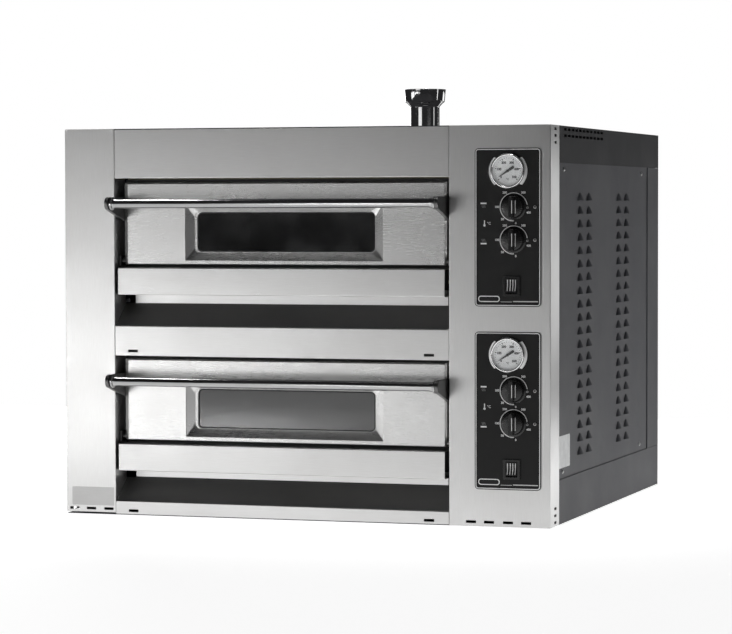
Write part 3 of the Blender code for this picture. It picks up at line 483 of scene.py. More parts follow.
def merged(parts):
    """Several bmeshes as one."""
    whole = bmesh.new()
    for part in parts:
        mesh = mesh_of("scratch", part)
        whole.from_mesh(mesh)
        bpy.data.meshes.remove(mesh)
    return whole


def thicken(mesh_data, thickness, outward):
    """Give a one-sided skin its sheet thickness, behind the side that mostly faces outward along x."""
    bmesh.ops.recalc_face_normals(mesh_data, faces=mesh_data.faces)
    facing = sum((f.normal * f.calc_area() for f in mesh_data.faces), Vector())
    if facing.x * outward < 0:
        bmesh.ops.reverse_faces(mesh_data, faces=mesh_data.faces)
    bmesh.ops.solidify(mesh_data, geom=mesh_data.faces, thickness=thickness * MM)
    return mesh_data


def solid_of(curve):
    """A curve's own solid as a closed bmesh. The curve is removed."""
    obj = new_object("scratch", curve)
    mesh = bpy.data.meshes.new_from_object(obj.evaluated_get(bpy.context.evaluated_depsgraph_get()))
    mesh_data = bmesh.new()
    mesh_data.from_mesh(mesh)
    bmesh.ops.remove_doubles(mesh_data, verts=mesh_data.verts, dist=0.001 * MM)
    bpy.data.objects.remove(obj)
    bpy.data.curves.remove(curve)
    bpy.data.meshes.remove(mesh)
    return mesh_data


def lettering(text, height, centre, y_front, thickness=0.04, bold=0.14):
    """Solid digits or signs facing the front, centred on an (x, z) point, as a bmesh."""
    curve = bpy.data.curves.new("scratch", "FONT")
    curve.body = text
    curve.size = height * 1.35 * MM
    curve.extrude = thickness / 2 * MM
    curve.offset = bold * MM
    curve.align_x, curve.align_y = "CENTER", "CENTER"
    curve.resolution_u = 3
    place = (centre[0], y_front + thickness / 2 * MM, centre[1])
    return placed(solid_of(curve), place, Matrix.Rotation(math.pi / 2, 4, "X"), 1.0)


# Outlines in millimetres from an origin. Angles are in degrees, clockwise from straight up.
def arc(origin, radius, start, end, steps):
    """Points along an arc."""
    angles = [math.radians(start + (end - start) * step / steps) for step in range(steps + 1)]
    return near(origin, *((radius * math.sin(angle), radius * math.cos(angle)) for angle in angles))


def bow(origin, radius, width, start, end, steps):
    """A circular stroke."""
    outer = arc(origin, radius + width / 2, start, end, steps)
    return outer + arc(origin, radius - width / 2, end, start, steps)


def bar(origin, x, z, width, height):
    """A small upright bar."""
    w, h = width / 2, height / 2
    return near(origin, (x - w, z - h), (x + w, z - h), (x + w, z + h), (x - w, z + h))


def hand(origin, angle, stations):
    """A straight pointer or mark: (distance, half width) stations along a line from the origin."""
    turn = math.radians(angle)
    along = Vector((math.sin(turn), math.cos(turn)))
    across = Vector((along.y, -along.x))
    sides = [along * reach + across * half for reach, half in stations]
    return near(origin, *sides, *(along * reach - across * half for reach, half in reversed(stations)))


# ---------------- casing
STRIPS = ((405.0, 440.0), (60.0, 95.0))     # heights between which the frame shows bright under a band
FRAME_ENDS = (-364.0, 274.0)
THROAT_DEPTH = 1.5                          # behind the front face, where the fold into the throat is over


def in_strip(place):
    """True where the frame is bare polished sheet, under a band and clear of the hinge ears."""
    inside = FRAME_ENDS[0] * MM < place.x < FRAME_ENDS[1] * MM
    return inside and any(low * MM < place.z < high * MM for low, high in STRIPS)


def reface(obj, mat, chosen):
    """Give the faces that pass a test another material."""
    obj.data.materials.append(MATS[mat])
    for polygon in obj.data.polygons:
        polygon.material_index = int(chosen(polygon))


def front_frame():
    """Frame plate, given a dark steel as painted shade in the gaps round the chamber mouths, and plain bright
    steel in the strips under the bands.
    """
    cuts = [((x * MM, 0, 0), (1, 0, 0)) for x in FRAME_ENDS]
    cuts += [((0, 0, z * MM), (0, 0, 1)) for strip in STRIPS for z in strip]
    plate = refined("front_frame", "frame", 0.4, 0.0, cuts=cuts)
    reface(plate, "panel", lambda face: in_strip(face.center))


def throat_panels():
    """Front panels whose sloping throats are darkened with painted shade."""
    for node in ("middle_front_panel", "bottom_front_panel"):
        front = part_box(node)[0].y + THROAT_DEPTH * MM
        # Upward sloping faces behind the front face take the painted shade.
        reface(refined(node, "panel"), "throat",
               lambda face: face.normal.z > 0.3 and face.center.y > front)


def casing():
    """Folded covers, finer than their CAD solids."""
    refined("left_pillar_cover", "pillar", fold=2.2)
    refined("control_pillar_cover", "pillar", fold=3.8)
    refined("top_front_panel", "panel")
    throat_panels()
    for deck in DECKS:
        refined(deck + "_ledge_band", "panel", 0.4, 2.0)
    refined("top_cover", "lid_paint", 0.3, 0.0)
    for node in ("base_tray", "rear_cover"):
        refined(node, "paint")
    front_frame()
    for node in ("compartment_wall", "vent_duct"):
        finish_node(node, "liner")


# Places on a side panel are behind the front face and above the table.
LOUVRE_COLUMNS = (234.0, 305.0, 561.0, 630.0)
LOUVRE_BOTTOM, LOUVRE_PITCH, LOUVRE_ROWS = 120.5, 25.75, 20
LOUVRE_SIZE = (36.0, 7.0, 15.5)                 # along the panel, out from it, and up
SLOT_SIZE = (0.84 * LOUVRE_SIZE[0], 6.5)
SIDE_SCREWS = ((108.0, 668.0), (771.0, 666.0), (100.0, 98.0), (756.0, 100.0))
LABEL = ((68.0, 105.0), (155.0, 166.0))
REAR_INSET, REAR_HEIGHTS = 60.0, (118.0, 390.0, 655.0)
BADGE_PLACE, BADGE_SIZE = (56.0, 35.0), (88.0, 36.0)    # from the left pillar's lower left corner


def louvre(face, outward, y, z):
    """One pressed hood, pointed at its top and open at its foot, as a bmesh skin."""
    length, reach, height = (size * MM for size in LOUVRE_SIZE)
    hood = bmesh.new()
    rings = []
    for step in range(9):
        t = step / 8
        half, out = length / 2 * (0.10 + 0.90 * t ** 0.66), reach * t ** 0.75
        ring = []
        for turn in range(13):
            angle = math.pi * turn / 12
            swell = math.sin(angle) ** 0.85 * out - 0.3 * MM
            point = (face + outward * swell, y - half * math.cos(angle), z + height * (1 - t))
            ring.append(hood.verts.new(point))
        rings.append(ring)
    bridge(hood, rings, closed=False)
    return thicken(hood, 1.0, outward)


def louvred_panel(node, outward):
    """Side sheet with a slot under each pressed hood."""
    low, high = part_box(node)
    rim = LOUVRE_SIZE[1] * MM
    face = high.x - rim if outward > 0 else low.x + rim
    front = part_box("left_pillar_cover")[0].y
    ys = [front + y * MM for y in LOUVRE_COLUMNS]
    zs = [(LOUVRE_BOTTOM + LOUVRE_PITCH * row) * MM for row in range(LOUVRE_ROWS)]
    half, slot_height = SLOT_SIZE[0] / 2 * MM, SLOT_SIZE[1] * MM
    cuts_y = [low.y] + [v for y in ys for v in (y - half, y + half)] + [high.y]
    cuts_z = [low.z] + [v for z in zs for v in (z, z + slot_height)] + [high.z]
    sheet = bmesh.new()
    grid = [[sheet.verts.new((face, y, z)) for z in cuts_z] for y in cuts_y]
    for i in range(len(cuts_y) - 1):
        for j in range(len(cuts_z) - 1):
            corners = (grid[i][j], grid[i + 1][j], grid[i + 1][j + 1], grid[i][j + 1])
            if not (i % 2 and j % 2):
                sheet.faces.new(corners[::outward])
    make(node + "_sheet", thicken(sheet, 1.5, outward), "paint", node)
    hoods = merged([louvre(face, outward, y, z) for y in ys for z in zs])
    make(node + "_louvres", hoods, "paint", node, sharp=60.0)
    for number, (y, z) in enumerate(SIDE_SCREWS):
        screw(f"{node}_screw_{number + 1}", (face, front + y * MM, z * MM), Vector((outward, 0, 0)))


# Radius and height of a screw head's rings, and how far they reach out into the cross's four arms.
SCREW_HEAD = ((4.5, -0.2, 0.0), (4.5, 0.0, 0.0), (4.5, 0.35, 0.0), (3.6, 0.45, 0.0), (3.6, 1.1, 0.0),
              (2.952, 1.75, 0.0), (1.62, 2.05, 0.0), (0.576, 2.05, 0.936), (0.4608, 0.9, 0.7488))


def screw(name, place, normal):
    """Pan-head screw with a cross recess, on a thin washer face."""
    loops = []
    for radius, height, arms in SCREW_HEAD:
        ring = []
        for step in range(24):
            angle = math.tau * step / 24
            reach = radius + arms * abs(math.cos(2 * angle)) ** 6
            ring.append((reach * math.cos(angle), reach * math.sin(angle), height))
        loops.append(ring)
    turn = Vector((0, 0, 1)).rotation_difference(normal).to_matrix().to_4x4()
    make(name, placed(loft(loops, caps=True), place, turn), "fastener")


def rear_screws():
    """Screws round the rear cover."""
    low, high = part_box("rear_cover")
    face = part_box("base_tray")[1].y - 25.5 * MM
    for column, x in enumerate((low.x + REAR_INSET * MM, 0.0, high.x - REAR_INSET * MM)):
        for line, z in enumerate(REAR_HEIGHTS):
            screw(f"rear_screw_{column + 1}{line + 1}", (x, face, z * MM), Vector((0, 1, 0)))


def labels():
    """Blank foil label low on the right side, and a blank badge on the left pillar."""
    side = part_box("right_side_panel")[1].x - LOUVRE_SIZE[1] * MM
    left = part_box("left_pillar_cover")[0]
    low, high = (Vector(corner) for corner in near((side, left.y, 0.0), (0.0, *LABEL[0]), (0.25, *LABEL[1])))
    plate = bmesh.new()
    bmesh.ops.create_cube(plate, size=1.0, matrix=Matrix.Translation((low + high) / 2)
                          @ Matrix.Diagonal((*(high - low), 1.0)))
    round_edges(plate, [e for e in plate.edges if e.calc_length() < 1 * MM], 2.5, 4)
    make("side_label", plate, "label")
    outline = rounded_rectangle(near((left.x, 0.0), BADGE_PLACE)[0], BADGE_SIZE, 1.5, 3)
    make("pillar_badge", raised(outline, left.y - 0.25 * MM, left.y), "badge")


# ---------------- flue
def flue():
    """Polished funnel with a rolled rim, on its pipe."""
    low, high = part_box("flue")
    x, y = middle_of("flue").xy
    top, rim, neck = (high.z - low.z) / MM, (high.x - low.x) / 2 / MM, 31.5
    outside = [(neck, 0.0), (neck, top - 37.0), (neck + 3.0, top - 34.0), (rim - 8.5, top - 30.0),
               (rim - 4.0, top - 27.0), (rim - 1.4, top)]
    inside = [(rim - 2.8, top), (rim - 5.6, top - 26.0), (neck - 1.0, top - 34.0), (neck - 1.5, 0.0)]
    funnel = turned(fillet(outside + inside, 3.0, 5), (x, y, low.z), "z", 96)
    make("flue_funnel", funnel, "chrome", "flue", sharp=60.0)
    collar = fillet([(32.0, 0.2), (39.0, 0.2), (39.0, 1.2), (34.5, 1.8), (32.0, 4.0), (32.0, 0.2)], 0.4, 3)
    collar = turned(collar[:-1], (x, y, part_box("top_cover")[1].z), "z", 72)
    make("flue_collar", collar, "fastener", sharp=50.0)


# ---------------- doors
SHEET = 1.2
BEVEL_DEPTH = 14.0
WINDOW = (400.0, 107.5)     # window recess at the door's face
PANE = (360.0, 75.0)        # and at the bottom of its bevel
# How far the left, right, bottom and top edges roll in, and how deep they start.
DOOR_EDGES = ((8.0, 3.6), (4.5, 5.0), (1.7, 2.0), (3.5, 5.0))
EDGE_CURVE = ((1.0, 0.0), (0.93, 0.02), (0.87, 0.07), (0.80, 0.15), (0.68, 0.29), (0.50, 0.47), (0.30, 0.66),
              (0.14, 0.81), (0.04, 0.92), (0.0, 1.0))     # inset and depth of a rolled edge, as shares
# Loops round the window: grown on the left and on the other sides, depth behind the face, corner radius.
WINDOW_ROLL = ((1.5, 1.5, 0.0, 2.2), (0.7, 0.7, 0.15, 1.6), (0.2, 0.2, 0.7, 1.2), (0.0, 0.0, 1.3, 1.1))
WINDOW_BACK = ((1.5, 1.5, 2.6, 2.0), (3.0, 3.0, SHEET, 2.0))
# Loops round the pane, with their depth behind the bottom of the bevel.
PANE_LIP = ((7.4, 2.2, -1.2, 11.0), (7.1, 2.0, -0.6, 11.0), (6.2, 1.5, 0.2, 10.4), (5.4, 1.2, 0.2, 10.4),
            (4.4, 0.9, -0.5, 9.9), (1.3, 0.9, -0.4, 9.2), (0.5, 0.5, 0.2, 8.8), (0.4, 0.4, 2.0, 8.8),
            (7.0, 3.0, 2.0, 11.0), (9.0, 4.2, 0.9, 11.0))
GASKET = ((0.1, 0.1, 1.1, 8.8), (-1.4, -1.4, 1.1, 7.4), (-1.7, -1.7, 1.5, 7.1), (-1.7, -1.7, 2.25, 7.1),
          (0.1, 0.1, 2.25, 8.8))


def edge_inset(reach, deep, depth):
    """How far in from the door's outline a rolled edge is, at a depth behind the face."""
    share = min(depth / deep, 1.0)
    for (inset_a, share_a), (inset_b, share_b) in zip(EDGE_CURVE, EDGE_CURVE[1:]):
        if share_a <= share <= share_b:
            inset = inset_a + (inset_b - inset_a) * (share - share_a) / (share_b - share_a)
    return reach * inset


def grown(node, size, sides, corner, y):
    """A loop round the middle of a node, grown from its size on the left, right, bottom and top."""
    left, right, bottom, top = sides
    centre = near(middle_of(node).xz, ((right - left) / 2, (top - bottom) / 2))[0]
    return upright(rounded_rectangle(centre, (size[0] + left + right, size[1] + bottom + top), corner), y)


def door_skin(deck):
    """Outer door sheet: rolled edges, then a mitred bevel down to the round-cornered pane."""
    node, pane = deck + "_door_skin", deck + "_door_glass"
    low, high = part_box(node)
    whole = ((high.x - low.x) / MM, (high.z - low.z) / MM)
    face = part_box(pane)[0].y - (BEVEL_DEPTH + 2.3) * MM

    def rim(y, depth, more=0.0):
        """A loop of the sheet's edge as it is at a depth, drawn in by some more."""
        return grown(node, whole, [-edge_inset(*edge, depth) - more for edge in DOOR_EDGES], 1.5, y)

    def around(size, start, loops):
        """Loops round an opening of a size, from a depth."""
        return [grown(pane, size, (left, rest, rest, rest), corner, face + (start + depth) * MM)
                for left, rest, depth, corner in loops]

    depths = sorted({deep * share for _, deep in DOOR_EDGES for _, share in EDGE_CURVE}, reverse=True)
    loops = [rim(high.y, depths[0])] + [rim(face + depth * MM, depth) for depth in depths]
    loops += around(WINDOW, 0.0, WINDOW_ROLL) + around(PANE, BEVEL_DEPTH, PANE_LIP)
    loops += around(WINDOW, 0.0, WINDOW_BACK) + [rim(face + SHEET * MM, 0.0, SHEET + 0.3)]
    loops += [rim(y, depths[0], SHEET) for y in (face + (depths[0] + 1.0) * MM, high.y)]
    pressing = loft(loops, close=True)
    make(node + "_pressing", pressing, "door", node, sharp=28.0, weighted=True)
    bead = loft(around(PANE, BEVEL_DEPTH, GASKET), close=True)
    make(deck + "_pane_gasket", bead, "gasket", body=BODY_OF[node], sharp=50.0)


def handle(deck):
    """Pull bar with a stepped collar at each end, and the two arms that carry it."""
    node = deck + "_handle_bar"
    low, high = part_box(node)
    inset, bar_r, collar_r = 2.4, 8.8, (high.z - low.z) / 2 / MM + 0.4
    length = (high.x - low.x) / MM - inset
    end = [(collar_r - 0.8, 0.0), (collar_r, 0.8), (collar_r, 3.6), (collar_r - 1.2, 4.4), (bar_r + 1.0, 5.0),
           (bar_r + 0.9, 10.5), (bar_r, 11.6)]
    profile = [(0.0, 0.0)] + end + [(r, length - h) for r, h in reversed(end)] + [(0.0, length)]
    solid = turned(profile, (low.x + inset * MM, *middle_of(node).yz), "x", 48)
    make(node + "_turned", solid, "bar", node, sharp=40.0)
    for side in ("left", "right"):
        refined(f"{deck}_handle_bracket_{side}", "bracket", 0.9, 0.0)


def doors():
    """Everything that swings, and the rods it swings on."""
    for deck in DECKS:
        door_skin(deck)
        handle(deck)
        refined(deck + "_door_inner_panel", "inner", 0.4, 0.0)
        refined(deck + "_door_glass", "glass", 0.7, 0.0)
        node = deck + "_hinge_rod"
        low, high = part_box(node)
        radius, length = (high.z - low.z) / 2 / MM, (high.x - low.x) / MM
        profile = fillet([(0.0, 0.0), (radius, 0.0), (radius, length), (0.0, length)], 0.8, 3)
        rod = turned(profile, (low.x, *middle_of(node).yz), "x", 32)
        make(node + "_turned", rod, "fastener", node, sharp=50.0)


# ---------------- chambers
HEATER_TAIL = 45.0          # its ends go this far through the chamber's back


def heater(node):
    """Element bent back and forth across the chamber, as a smooth tube."""
    low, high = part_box(node)
    radius = (high.z - low.z) / 2
    turns = 7
    left, right = low.x + radius, high.x - radius
    bend = (right - left) / turns / 2
    ends = ((low.y + radius + bend, -270.0), (high.y - HEATER_TAIL * MM - bend, 90.0))
    points = [(left, high.y)]
    for turn in range(turns):
        y, angle = ends[turn % 2]
        points += arc((left + bend * (2 * turn + 1), y), bend / MM, -90.0, angle, 10)
    points.append((right, high.y))
    curve = bpy.data.curves.new(node + "_tube", "CURVE")
    curve.dimensions = "3D"
    curve.bevel_depth = radius
    curve.bevel_resolution = 4
    curve.use_fill_caps = True
    spline = curve.splines.new("POLY")
    spline.points.add(len(points) - 1)
    for target, (x, y) in zip(spline.points, points):
        target.co = (x, y, middle_of(node).z, 1.0)
    make(node + "_tube", solid_of(curve), "sheath", node, sharp=50.0)


def chambers():
    """Linings, stones, elements and wool."""
    for deck in DECKS:
        refined(deck + "_chamber", "liner", 0.4, 1.2, 0.01)
        refined(deck + "_baking_stone", "stone", 2.0, 0.0)
        finish_node(deck + "_insulation", "wool")
        for which in ("top", "bottom"):
            heater(f"{deck}_{which}_heater")


# ---------------- controls
GRIP = ((0.0, 10.6, 40.0), (0.3, 9.8, 39.6), (0.75, 8.6, 38.4), (0.93, 8.0, 37.6), (1.0, 7.0, 36.4))
GRIP_FOOT, SKIRT_FRONT = 14.0, 15.2     # ahead of the control plate
# Size of each pale line painted as a highlight on a knob.
HIGHLIGHT_LINE_SIZE = (1.3, 24.0)


def knob(node):
    """Fluted phenolic knob with a tall tapered grip, and two pale lines on it painted as the highlights of the
    grip's edge and foot.
    """
    low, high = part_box(node)
    centre = middle_of(node)
    centre.y = high.y
    radius = (high.x - low.x) / 2 / MM

    def flutes(angle, height):
        """How far the shallow flutes cut in, on the skirt only."""
        waist = max(0.0, min(1.0, (-height - 4.5) / 1.5))
        return -0.45 * waist * (0.5 + 0.5 * math.cos(30 * angle)) ** 2

    profile = [(0.0, -12.0), (3.3, -12.0), (3.3, -0.2), (radius, 0.0), (radius, -2.6), (radius - 0.9, -3.5),
               (21.6, -4.2), (21.4, -5.2), (21.0, -6.4), (20.3, -13.0), (19.2, -14.4), (17.4, -15.0),
               (0.0, -SKIRT_FRONT)]
    skirt = turned(profile, centre, "y", 180, flutes)
    foot = high.y - GRIP_FOOT * MM
    loops = []
    for share, width, height in GRIP:
        outline = rounded_rectangle(centre.xz, (width, height), 2.2, 5)
        loops.append(upright(outline, foot + (low.y - foot) * share))
    mould = merged([skirt, loft(loops, caps=True)])
    make(node + "_moulding", mould, "plastic", node, sharp=40.0)
    # Pale strips on the grip's front and at its foot: painted highlights of the grip's edges.
    lines = []
    for offset, face in ((2.7, low.y), (7.2, high.y - SKIRT_FRONT * MM)):
        outline = bar(centre.xz, offset, 0.0, *HIGHLIGHT_LINE_SIZE)
        lines.append(raised(outline, face - 0.1 * MM, face + 0.2 * MM))
    make(node + "_index", merged(lines), "ink", body=BODY_OF[node])


DIAL_SWEEP = 132.0          # half the dial's scale, in degrees
NEEDLE_REST = -123.0
NEEDLE = ((20.5, 0.4), (12.0, 1.1), (3.0, 1.7), (-3.0, 1.8), (-6.0, 2.4), (-13.5, 2.5), (-14.5, 2.0))


def gauge(deck):
    """Dial thermometer: rolled bezel, clip-on flange, enamel dial, pointer and lens."""
    node = deck + "_gauge"
    centre = pivot_of(node + "_needle")
    origin = centre.xz
    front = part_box(node)[0].y
    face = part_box(deck + "_control_plate")[0].y - 0.3 * MM
    rim, rise = 33.0, (face - front) / MM

    def around(profile, y, steps=72):
        """A profile turned about the dial's axis."""
        return turned(profile, (centre.x, y, centre.z), "y", steps)

    bezel = fillet([(26.5, 28.0), (26.5, 0.0), (rim - 0.6, 0.0), (rim, -1.0), (rim, -rise + 3.0),
                    (rim - 1.4, -rise + 0.4), (rim - 3.0, -rise), (rim - 4.4, -rise + 1.2),
                    (rim - 4.9, -rise + 2.6), (28.2, -3.2), (0.0, -3.2)], 0.7, 4)
    make(node + "_case", around([(0.0, 28.0)] + bezel, face, 96), "bezel", node, sharp=50.0)
    ears = []
    for side in (90.0, -90.0):
        outline = arc(origin, 37.0, side + 44, side - 44, 16) + arc(origin, 31.0, side - 50, side + 50, 16)
        ear = raised(outline, face - 1.5 * MM, face)
        round_edges(ear, [e for e in ear.edges if all(v.co.y < face - 1 * MM for v in e.verts)], 0.5, 3)
        ears.append(ear)
    make(node + "_flange", merged(ears), "flange", sharp=40.0, weighted=True)
    dial_y = face - 3.3 * MM
    make(node + "_dial", around([(0.0, 0.0), (28.0, 0.0), (28.0, -0.3), (0.0, -0.3)], dial_y), "dial")
    ink_y = dial_y - 0.34 * MM
    marks = []
    for step in range(26):
        start, half = (23.4, 0.4) if step % 5 else (22.0, 0.8)
        outline = hand(origin, -DIAL_SWEEP + 2 * DIAL_SWEEP * step / 25, ((start, half), (25.0, half)))
        marks.append(raised(outline, ink_y, dial_y - 0.2 * MM))
    for number, place in enumerate(arc(origin, 17.0, -DIAL_SWEEP, DIAL_SWEEP, 5)):
        marks.append(lettering(str(100 * number), 4.4, place, ink_y, bold=0.3))
    marks.append(lettering("°C", 3.6, near(origin, (0.0, -15.5))[0], ink_y))
    make(node + "_dial_print", merged(marks), "dial_ink")
    needle(node + "_needle", origin)
    lens = fillet([(28.4, 0.9), (28.4, 0.0), (20.0, -0.5), (0.0, -0.8)], 0.3, 2)
    make(node + "_lens", around([(0.0, 0.9)] + lens, front + 2.0 * MM), "lens", sharp=60.0)


def needle(node, origin):
    """Slim pointer with a paddle tail and a small hub, at its rest angle."""
    y = middle_of(node).y
    blade = raised(hand(origin, NEEDLE_REST, NEEDLE), y - 0.35 * MM, y + 0.35 * MM)
    hub = fillet([(0.0, 1.0), (2.6, 1.0), (2.6, -0.7), (1.6, -1.0), (0.0, -1.0)], 0.3, 3)
    hub = turned(hub, (origin[0], y, origin[1]), "y", 32)
    make(node + "_pointer", merged([blade, hub]), "dial_ink", node, sharp=40.0)


def wave(origin, x, z, height, width):
    """A short wavy heat stroke."""
    steps = 12
    left, right = [], []
    for step in range(steps + 1):
        t = step / steps
        sway, level = 0.55 * math.sin(math.tau * t), z - height / 2 + height * t
        left.append((x + sway - width / 2, level))
        right.append((x + sway + width / 2, level))
    return near(origin, *left, *reversed(right))


# Numerals round a knob, with their offsets.
SCALE = (("0", 4.0, -30.2), ("50", -21.6, -22.8), ("100", -32.2, 0.0), ("200", -17.2, 26.6),
         ("300", 18.6, 26.6), ("400", 28.6, -10.6))
SCALE_RADIUS = 26.2
ARROW = ((-9.0, -24.8), (0.6, -26.8), (-0.8, -21.2))    # at the foot of a scale
SIGN_INSET = 17.2
LAMP_INSET = 11.6


def control_print(deck):
    """Border, knob scales, heat signs and thermometer sign on a control plate. All generic."""
    plate = deck + "_control_plate"
    low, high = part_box(plate)
    front, back = low.y - 0.05 * MM, low.y + 0.02 * MM

    def flat(outline):
        """One printed shape."""
        return raised(outline, front, back)

    def line_round(centre, size, corner, width, inner_corner):
        """A line inside the edge of a rounded rectangle."""
        inner = (size[0] - 2 * width, size[1] - 2 * width)
        return band(rounded_rectangle(centre, size, corner), rounded_rectangle(centre, inner, inner_corner),
                    front, back)

    size = ((high.x - low.x) / MM - 3.2, (high.z - low.z) / MM - 3.2)
    white, pale, dull = [line_round(middle_of(plate).xz, size, 5.6, 1.6, 4.0)], [], []
    places = []
    for which in ("top_heat", "bottom_heat"):
        centre = middle_of(f"{deck}_{which}_knob").xz
        places.append(centre)
        white.append(flat(bow(centre, SCALE_RADIUS, 1.5, 184.0, 442.0, 60)))
        pale.append(flat(bow(near(centre, (SCALE_RADIUS, -1.5))[0], 1.6, 0.7, 0.0, 350.0, 24)))
        white.append(flat(near(centre, *ARROW)))
        for text, *offset in SCALE:
            white.append(lettering(text, 4.2, near(centre, offset)[0], front, 0.06))
        lamp(f"{deck}_{which}", (high.x - LAMP_INSET * MM, low.y, centre.y))
    sign_x = low.x + SIGN_INSET * MM
    for sign, centre in zip((1, -1), places):
        origin = (sign_x, centre.y)
        white.append(flat(bar(origin, 0.0, sign * 6.8, 11.4, 2.7)))
        dull += [flat(wave(origin, offset, sign * 0.8, 5.0, 1.1)) for offset in (-2.6, 0.0, 2.6)]
    origin = (sign_x, (places[0].y + places[1].y) / 2)
    white.append(flat(arc(near(origin, (1.8, -3.6))[0], 2.3, 90.0, -252.0, 19)))
    white.append(flat(bar(origin, 1.8, 1.6, 1.9, 8.5)))
    pale.append(lettering("°C", 5.0, near(origin, (10.5, 0.0))[0], front, 0.06))
    origin = (low.x, low.z)
    white.append(line_round(near(origin, (27.6, 14.4))[0], (41.5, 11.6), 5.3, 1.7, 3.8))
    pale.append(flat(bar(origin, 61.0, 9.0, 22.0, 0.9)))
    pale.append(flat(bar(origin, 98.0, 9.8, 48.0, 1.9)))
    make(deck + "_control_print", merged(white), "ink")
    make(deck + "_control_scales", merged(pale), "pale_ink")
    make(deck + "_control_signs", merged(dull), "grey_ink")


def lamp(name, place):
    """Small unlit pilot lamp in a dull ring."""
    ring = fillet([(1.9, 0.3), (3.0, 0.3), (3.0, -0.7), (1.9, -0.9), (1.9, 0.3)], 0.25, 3)
    ring = turned(ring[:-1], place, "y", 40)
    make(name + "_lamp_ring", ring, "fastener", sharp=50.0)
    radius, steps = 1.85, 5
    dome = [(0.0, 0.2), (radius, 0.2)]
    for step in range(steps):
        angle = math.radians(90 * step / steps)
        dome.append((radius * math.cos(angle), -0.3 - 0.9 * math.sin(angle)))
    make(name + "_lamp_lens", turned(dome + [(0.0, -1.2)], place, "y", 32), "lamp", sharp=60.0)


ROCKER_TILT = math.radians(-8.0)
ROCKER_BARS = (-0.34, -0.09, 0.15, 0.38)        # places across the rocker, as shares of its width
ROCKER_BAR = ((-0.65, -0.18), (0.65, -0.18), (0.65, 0.3), (-0.65, 0.3))


def switch(deck):
    """Rocker switch: framed body, rocker and four pale bars moulded on the rocker."""
    refined(deck + "_switch_body", "plastic", 0.5, 0.0)
    node = deck + "_switch_rocker"
    refined(node, "rocker", 0.6, 0.0)
    low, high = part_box(node)
    lay = Matrix.Translation(pivot_of(node)) @ Matrix.Rotation(ROCKER_TILT, 4, "X") @ Matrix.Scale(MM, 4)
    bars = []
    for share in ROCKER_BARS:
        offset = share * (high.x - low.x) / MM
        loops = []
        for height in (-10.6, 0.0, 10.6):
            out = -8.5 + 2.0 * (1 - abs(height) / 12.2)
            loops.append([lay @ Vector((offset + x, out + lift, height)) for x, lift in ROCKER_BAR])
        bars.append(loft(loops, caps=True))
    make(node + "_bars", merged(bars), "ink", body=node)


def controls():
    """Everything on the two control plates."""
    for deck in DECKS:
        refined(deck + "_control_plate", "plate", 0.35, 0.0)
        control_print(deck)
        gauge(deck)
        switch(deck)
        for which in ("top_heat", "bottom_heat"):
            knob(f"{deck}_{which}_knob")
            refined(f"{deck}_{which}_thermostat", "phenolic", 0.6, 0.0)


# ---------------- back fittings
def gland():
    """Cable gland with a hexagonal flange, a ribbed dome nut and an open bore."""
    low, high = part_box("cable_gland")
    centre = middle_of("cable_gland")
    centre.y = high.y
    across, reach, seat = (high.x - low.x) / 2 / MM, (high.y - low.y) / MM, -20.2

    def faceted(angle, height):
        """The flange's six flats and the nut's ribs."""
        if seat < height < seat + 8.5:
            part = (angle + math.pi / 6) % (math.pi / 3) - math.pi / 6
            return across * (math.cos(math.pi / 6) / math.cos(part) - 1.0)
        return 0.25 * math.cos(18 * angle) if height > -12.0 else 0.0

    profile = fillet([(10.0, -reach), (10.0, seat), (across, seat + 0.1), (across, seat + 8.0),
                      (11.6, seat + 8.8), (11.6, -7.0), (10.6, -2.5), (9.0, 0.0), (6.8, 0.0), (6.5, -2.0),
                      (6.5, -reach)], 0.5, 2)
    fitting = turned(profile, centre, "y", 108, faceted)
    make("cable_gland_fitting", fitting, "plastic", "cable_gland", sharp=40.0)
    refined("terminal_block", "phenolic", 0.6, 0.0)


# ---------------- studio, in metres
CAMERA_PLACE = (1.8466, -5.7346, 0.5989)
CAMERA_TURN = (17.958, -2.146, -0.101)      # degrees to the left of straight ahead, up and over
CAMERA_LENS = 145.07
BODY = (0.0, 0.0, 0.45)
# Name, place, target, size, power and any narrow spread of each soft light.
LIGHTS = (
    ("low_front", (-1.5, -4.05, 0.22), BODY, (1.3, 0.4), 1.25),
    ("low_front_left", (-2.4, -3.45, 0.24), BODY, (1.5, 0.44), 3.9),
    ("dim_front_left", (-1.7, -3.9, 0.73), (0.0, 0.0, 0.6), (2.2, 0.22), 1.6),
    ("low_left", (-3.65, -2.1, 0.30), BODY, (1.6, 0.5), 4.1),
    ("low_back_right", (1.8, 3.8, 0.45), BODY, (1.6, 0.7), 4.2),
    ("high_right", (2.8, -2.1, 1.42), (0.3, 0.0, 0.9), (1.7, 1.4), 2.0),
    ("strip_right", (3.0, 0.5, 0.9), (0.0, 0.3, 0.7), (0.22, 1.7), 1.6),
    ("back_left", (-2.0, 3.5, 1.7), (0.0, 0.0, 0.4), (1.6, 2.2), 40.0),
    ("overhead", (0.0, 0.0, 3.3), (0.0, 0.0, 0.75), (1.2, 1.2), 3.0, 26.0),
    ("pool_front_left", (-1.6, -2.3, 3.4), (-1.6, -2.3, 0.0), (1.2, 1.0), 40.0, 24.0),
    ("pool_left", (-2.2, -0.8, 3.4), (-2.2, -0.8, 0.0), (0.9, 0.7), 15.0, 24.0),
    ("pool_back_right", (1.5, 0.6, 3.4), (1.5, 0.6, 0.0), (0.9, 0.7), 5.0, 24.0),
)
FLOOR = ((-4.2, -4.6), (0.7, -4.6), (2.6, -1.2), (2.6, 2.4), (-4.2, 2.4))


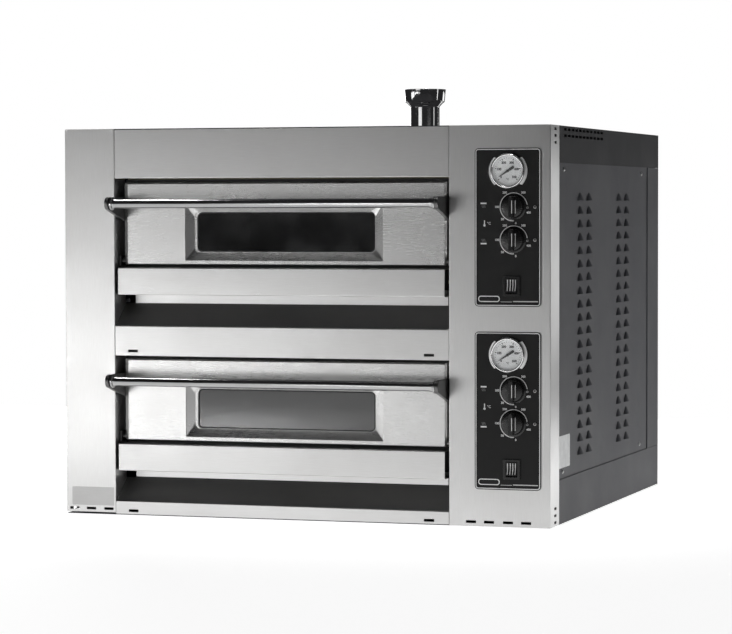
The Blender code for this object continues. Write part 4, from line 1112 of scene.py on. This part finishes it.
def camera():
    """The camera, a long lens a little right of the front."""
    data = bpy.data.cameras.new("camera")
    data.lens = CAMERA_LENS
    data.clip_start, data.clip_end = 0.05, 200.0
    obj = new_object("camera", data)
    yaw, pitch, roll = (math.radians(angle) for angle in CAMERA_TURN)
    aim = Matrix.Rotation(yaw, 4, "Z") @ Matrix.Rotation(math.pi / 2 + pitch, 4, "X")
    obj.matrix_world = Matrix.Translation(CAMERA_PLACE) @ aim @ Matrix.Rotation(roll, 4, "Z")
    bpy.context.scene.camera = obj


def softbox(name, place, target, size, power, spread_angle=180.0):
    """A soft area light aimed at a point. A narrow spread keeps it to the floor."""
    data = bpy.data.lights.new(name, "AREA")
    data.shape = "RECTANGLE"
    data.size, data.size_y = size
    data.energy = power
    data.spread = math.radians(spread_angle)
    obj = new_object(name, data)
    obj.location = place
    obj.rotation_euler = (Vector(target) - Vector(place)).to_track_quat("-Z", "Y").to_euler()
    obj.visible_camera = False


def studio():
    """Pale glowing floor table in a dark room, with low soft lights around it and pools of light on it."""
    floor = bmesh.new()
    level = CAD_BOX[0].z - 0.2 * MM
    floor.faces.new([floor.verts.new((x, y, level)) for x, y in FLOOR])
    mesh = mesh_of("studio_floor", floor)
    mesh.materials.append(MATS["floor"])
    new_object("studio_floor", mesh)
    for light in LIGHTS:
        softbox(*light)
    world = bpy.data.worlds.new("studio")
    bpy.context.scene.world = world
    world.use_nodes = True
    world.node_tree.nodes.clear()
    path = add(world, "ShaderNodeLightPath", {})
    seen = add(world, "ShaderNodeBackground", {"Color": (1.0, 1.0, 1.0, 1.0)})
    room = add(world, "ShaderNodeBackground", {"Color": (0.02, 0.02, 0.021, 1.0)})
    mix = add(world, "ShaderNodeMixShader", {"Fac": path.outputs["Is Camera Ray"],
                                             1: room.outputs["Background"], 2: seen.outputs["Background"]})
    add(world, "ShaderNodeOutputWorld", {"Surface": mix.outputs["Shader"]})
    bpy.context.scene.view_settings.view_transform = "Standard"


# ---------------- the whole scene
def main():
    """Build every piece."""
    camera()
    studio()
    casing()
    for node, outward in (("left_side_panel", -1), ("right_side_panel", 1)):
        louvred_panel(node, outward)
    rear_screws()
    labels()
    flue()
    doors()
    chambers()
    controls()
    gland()


main()
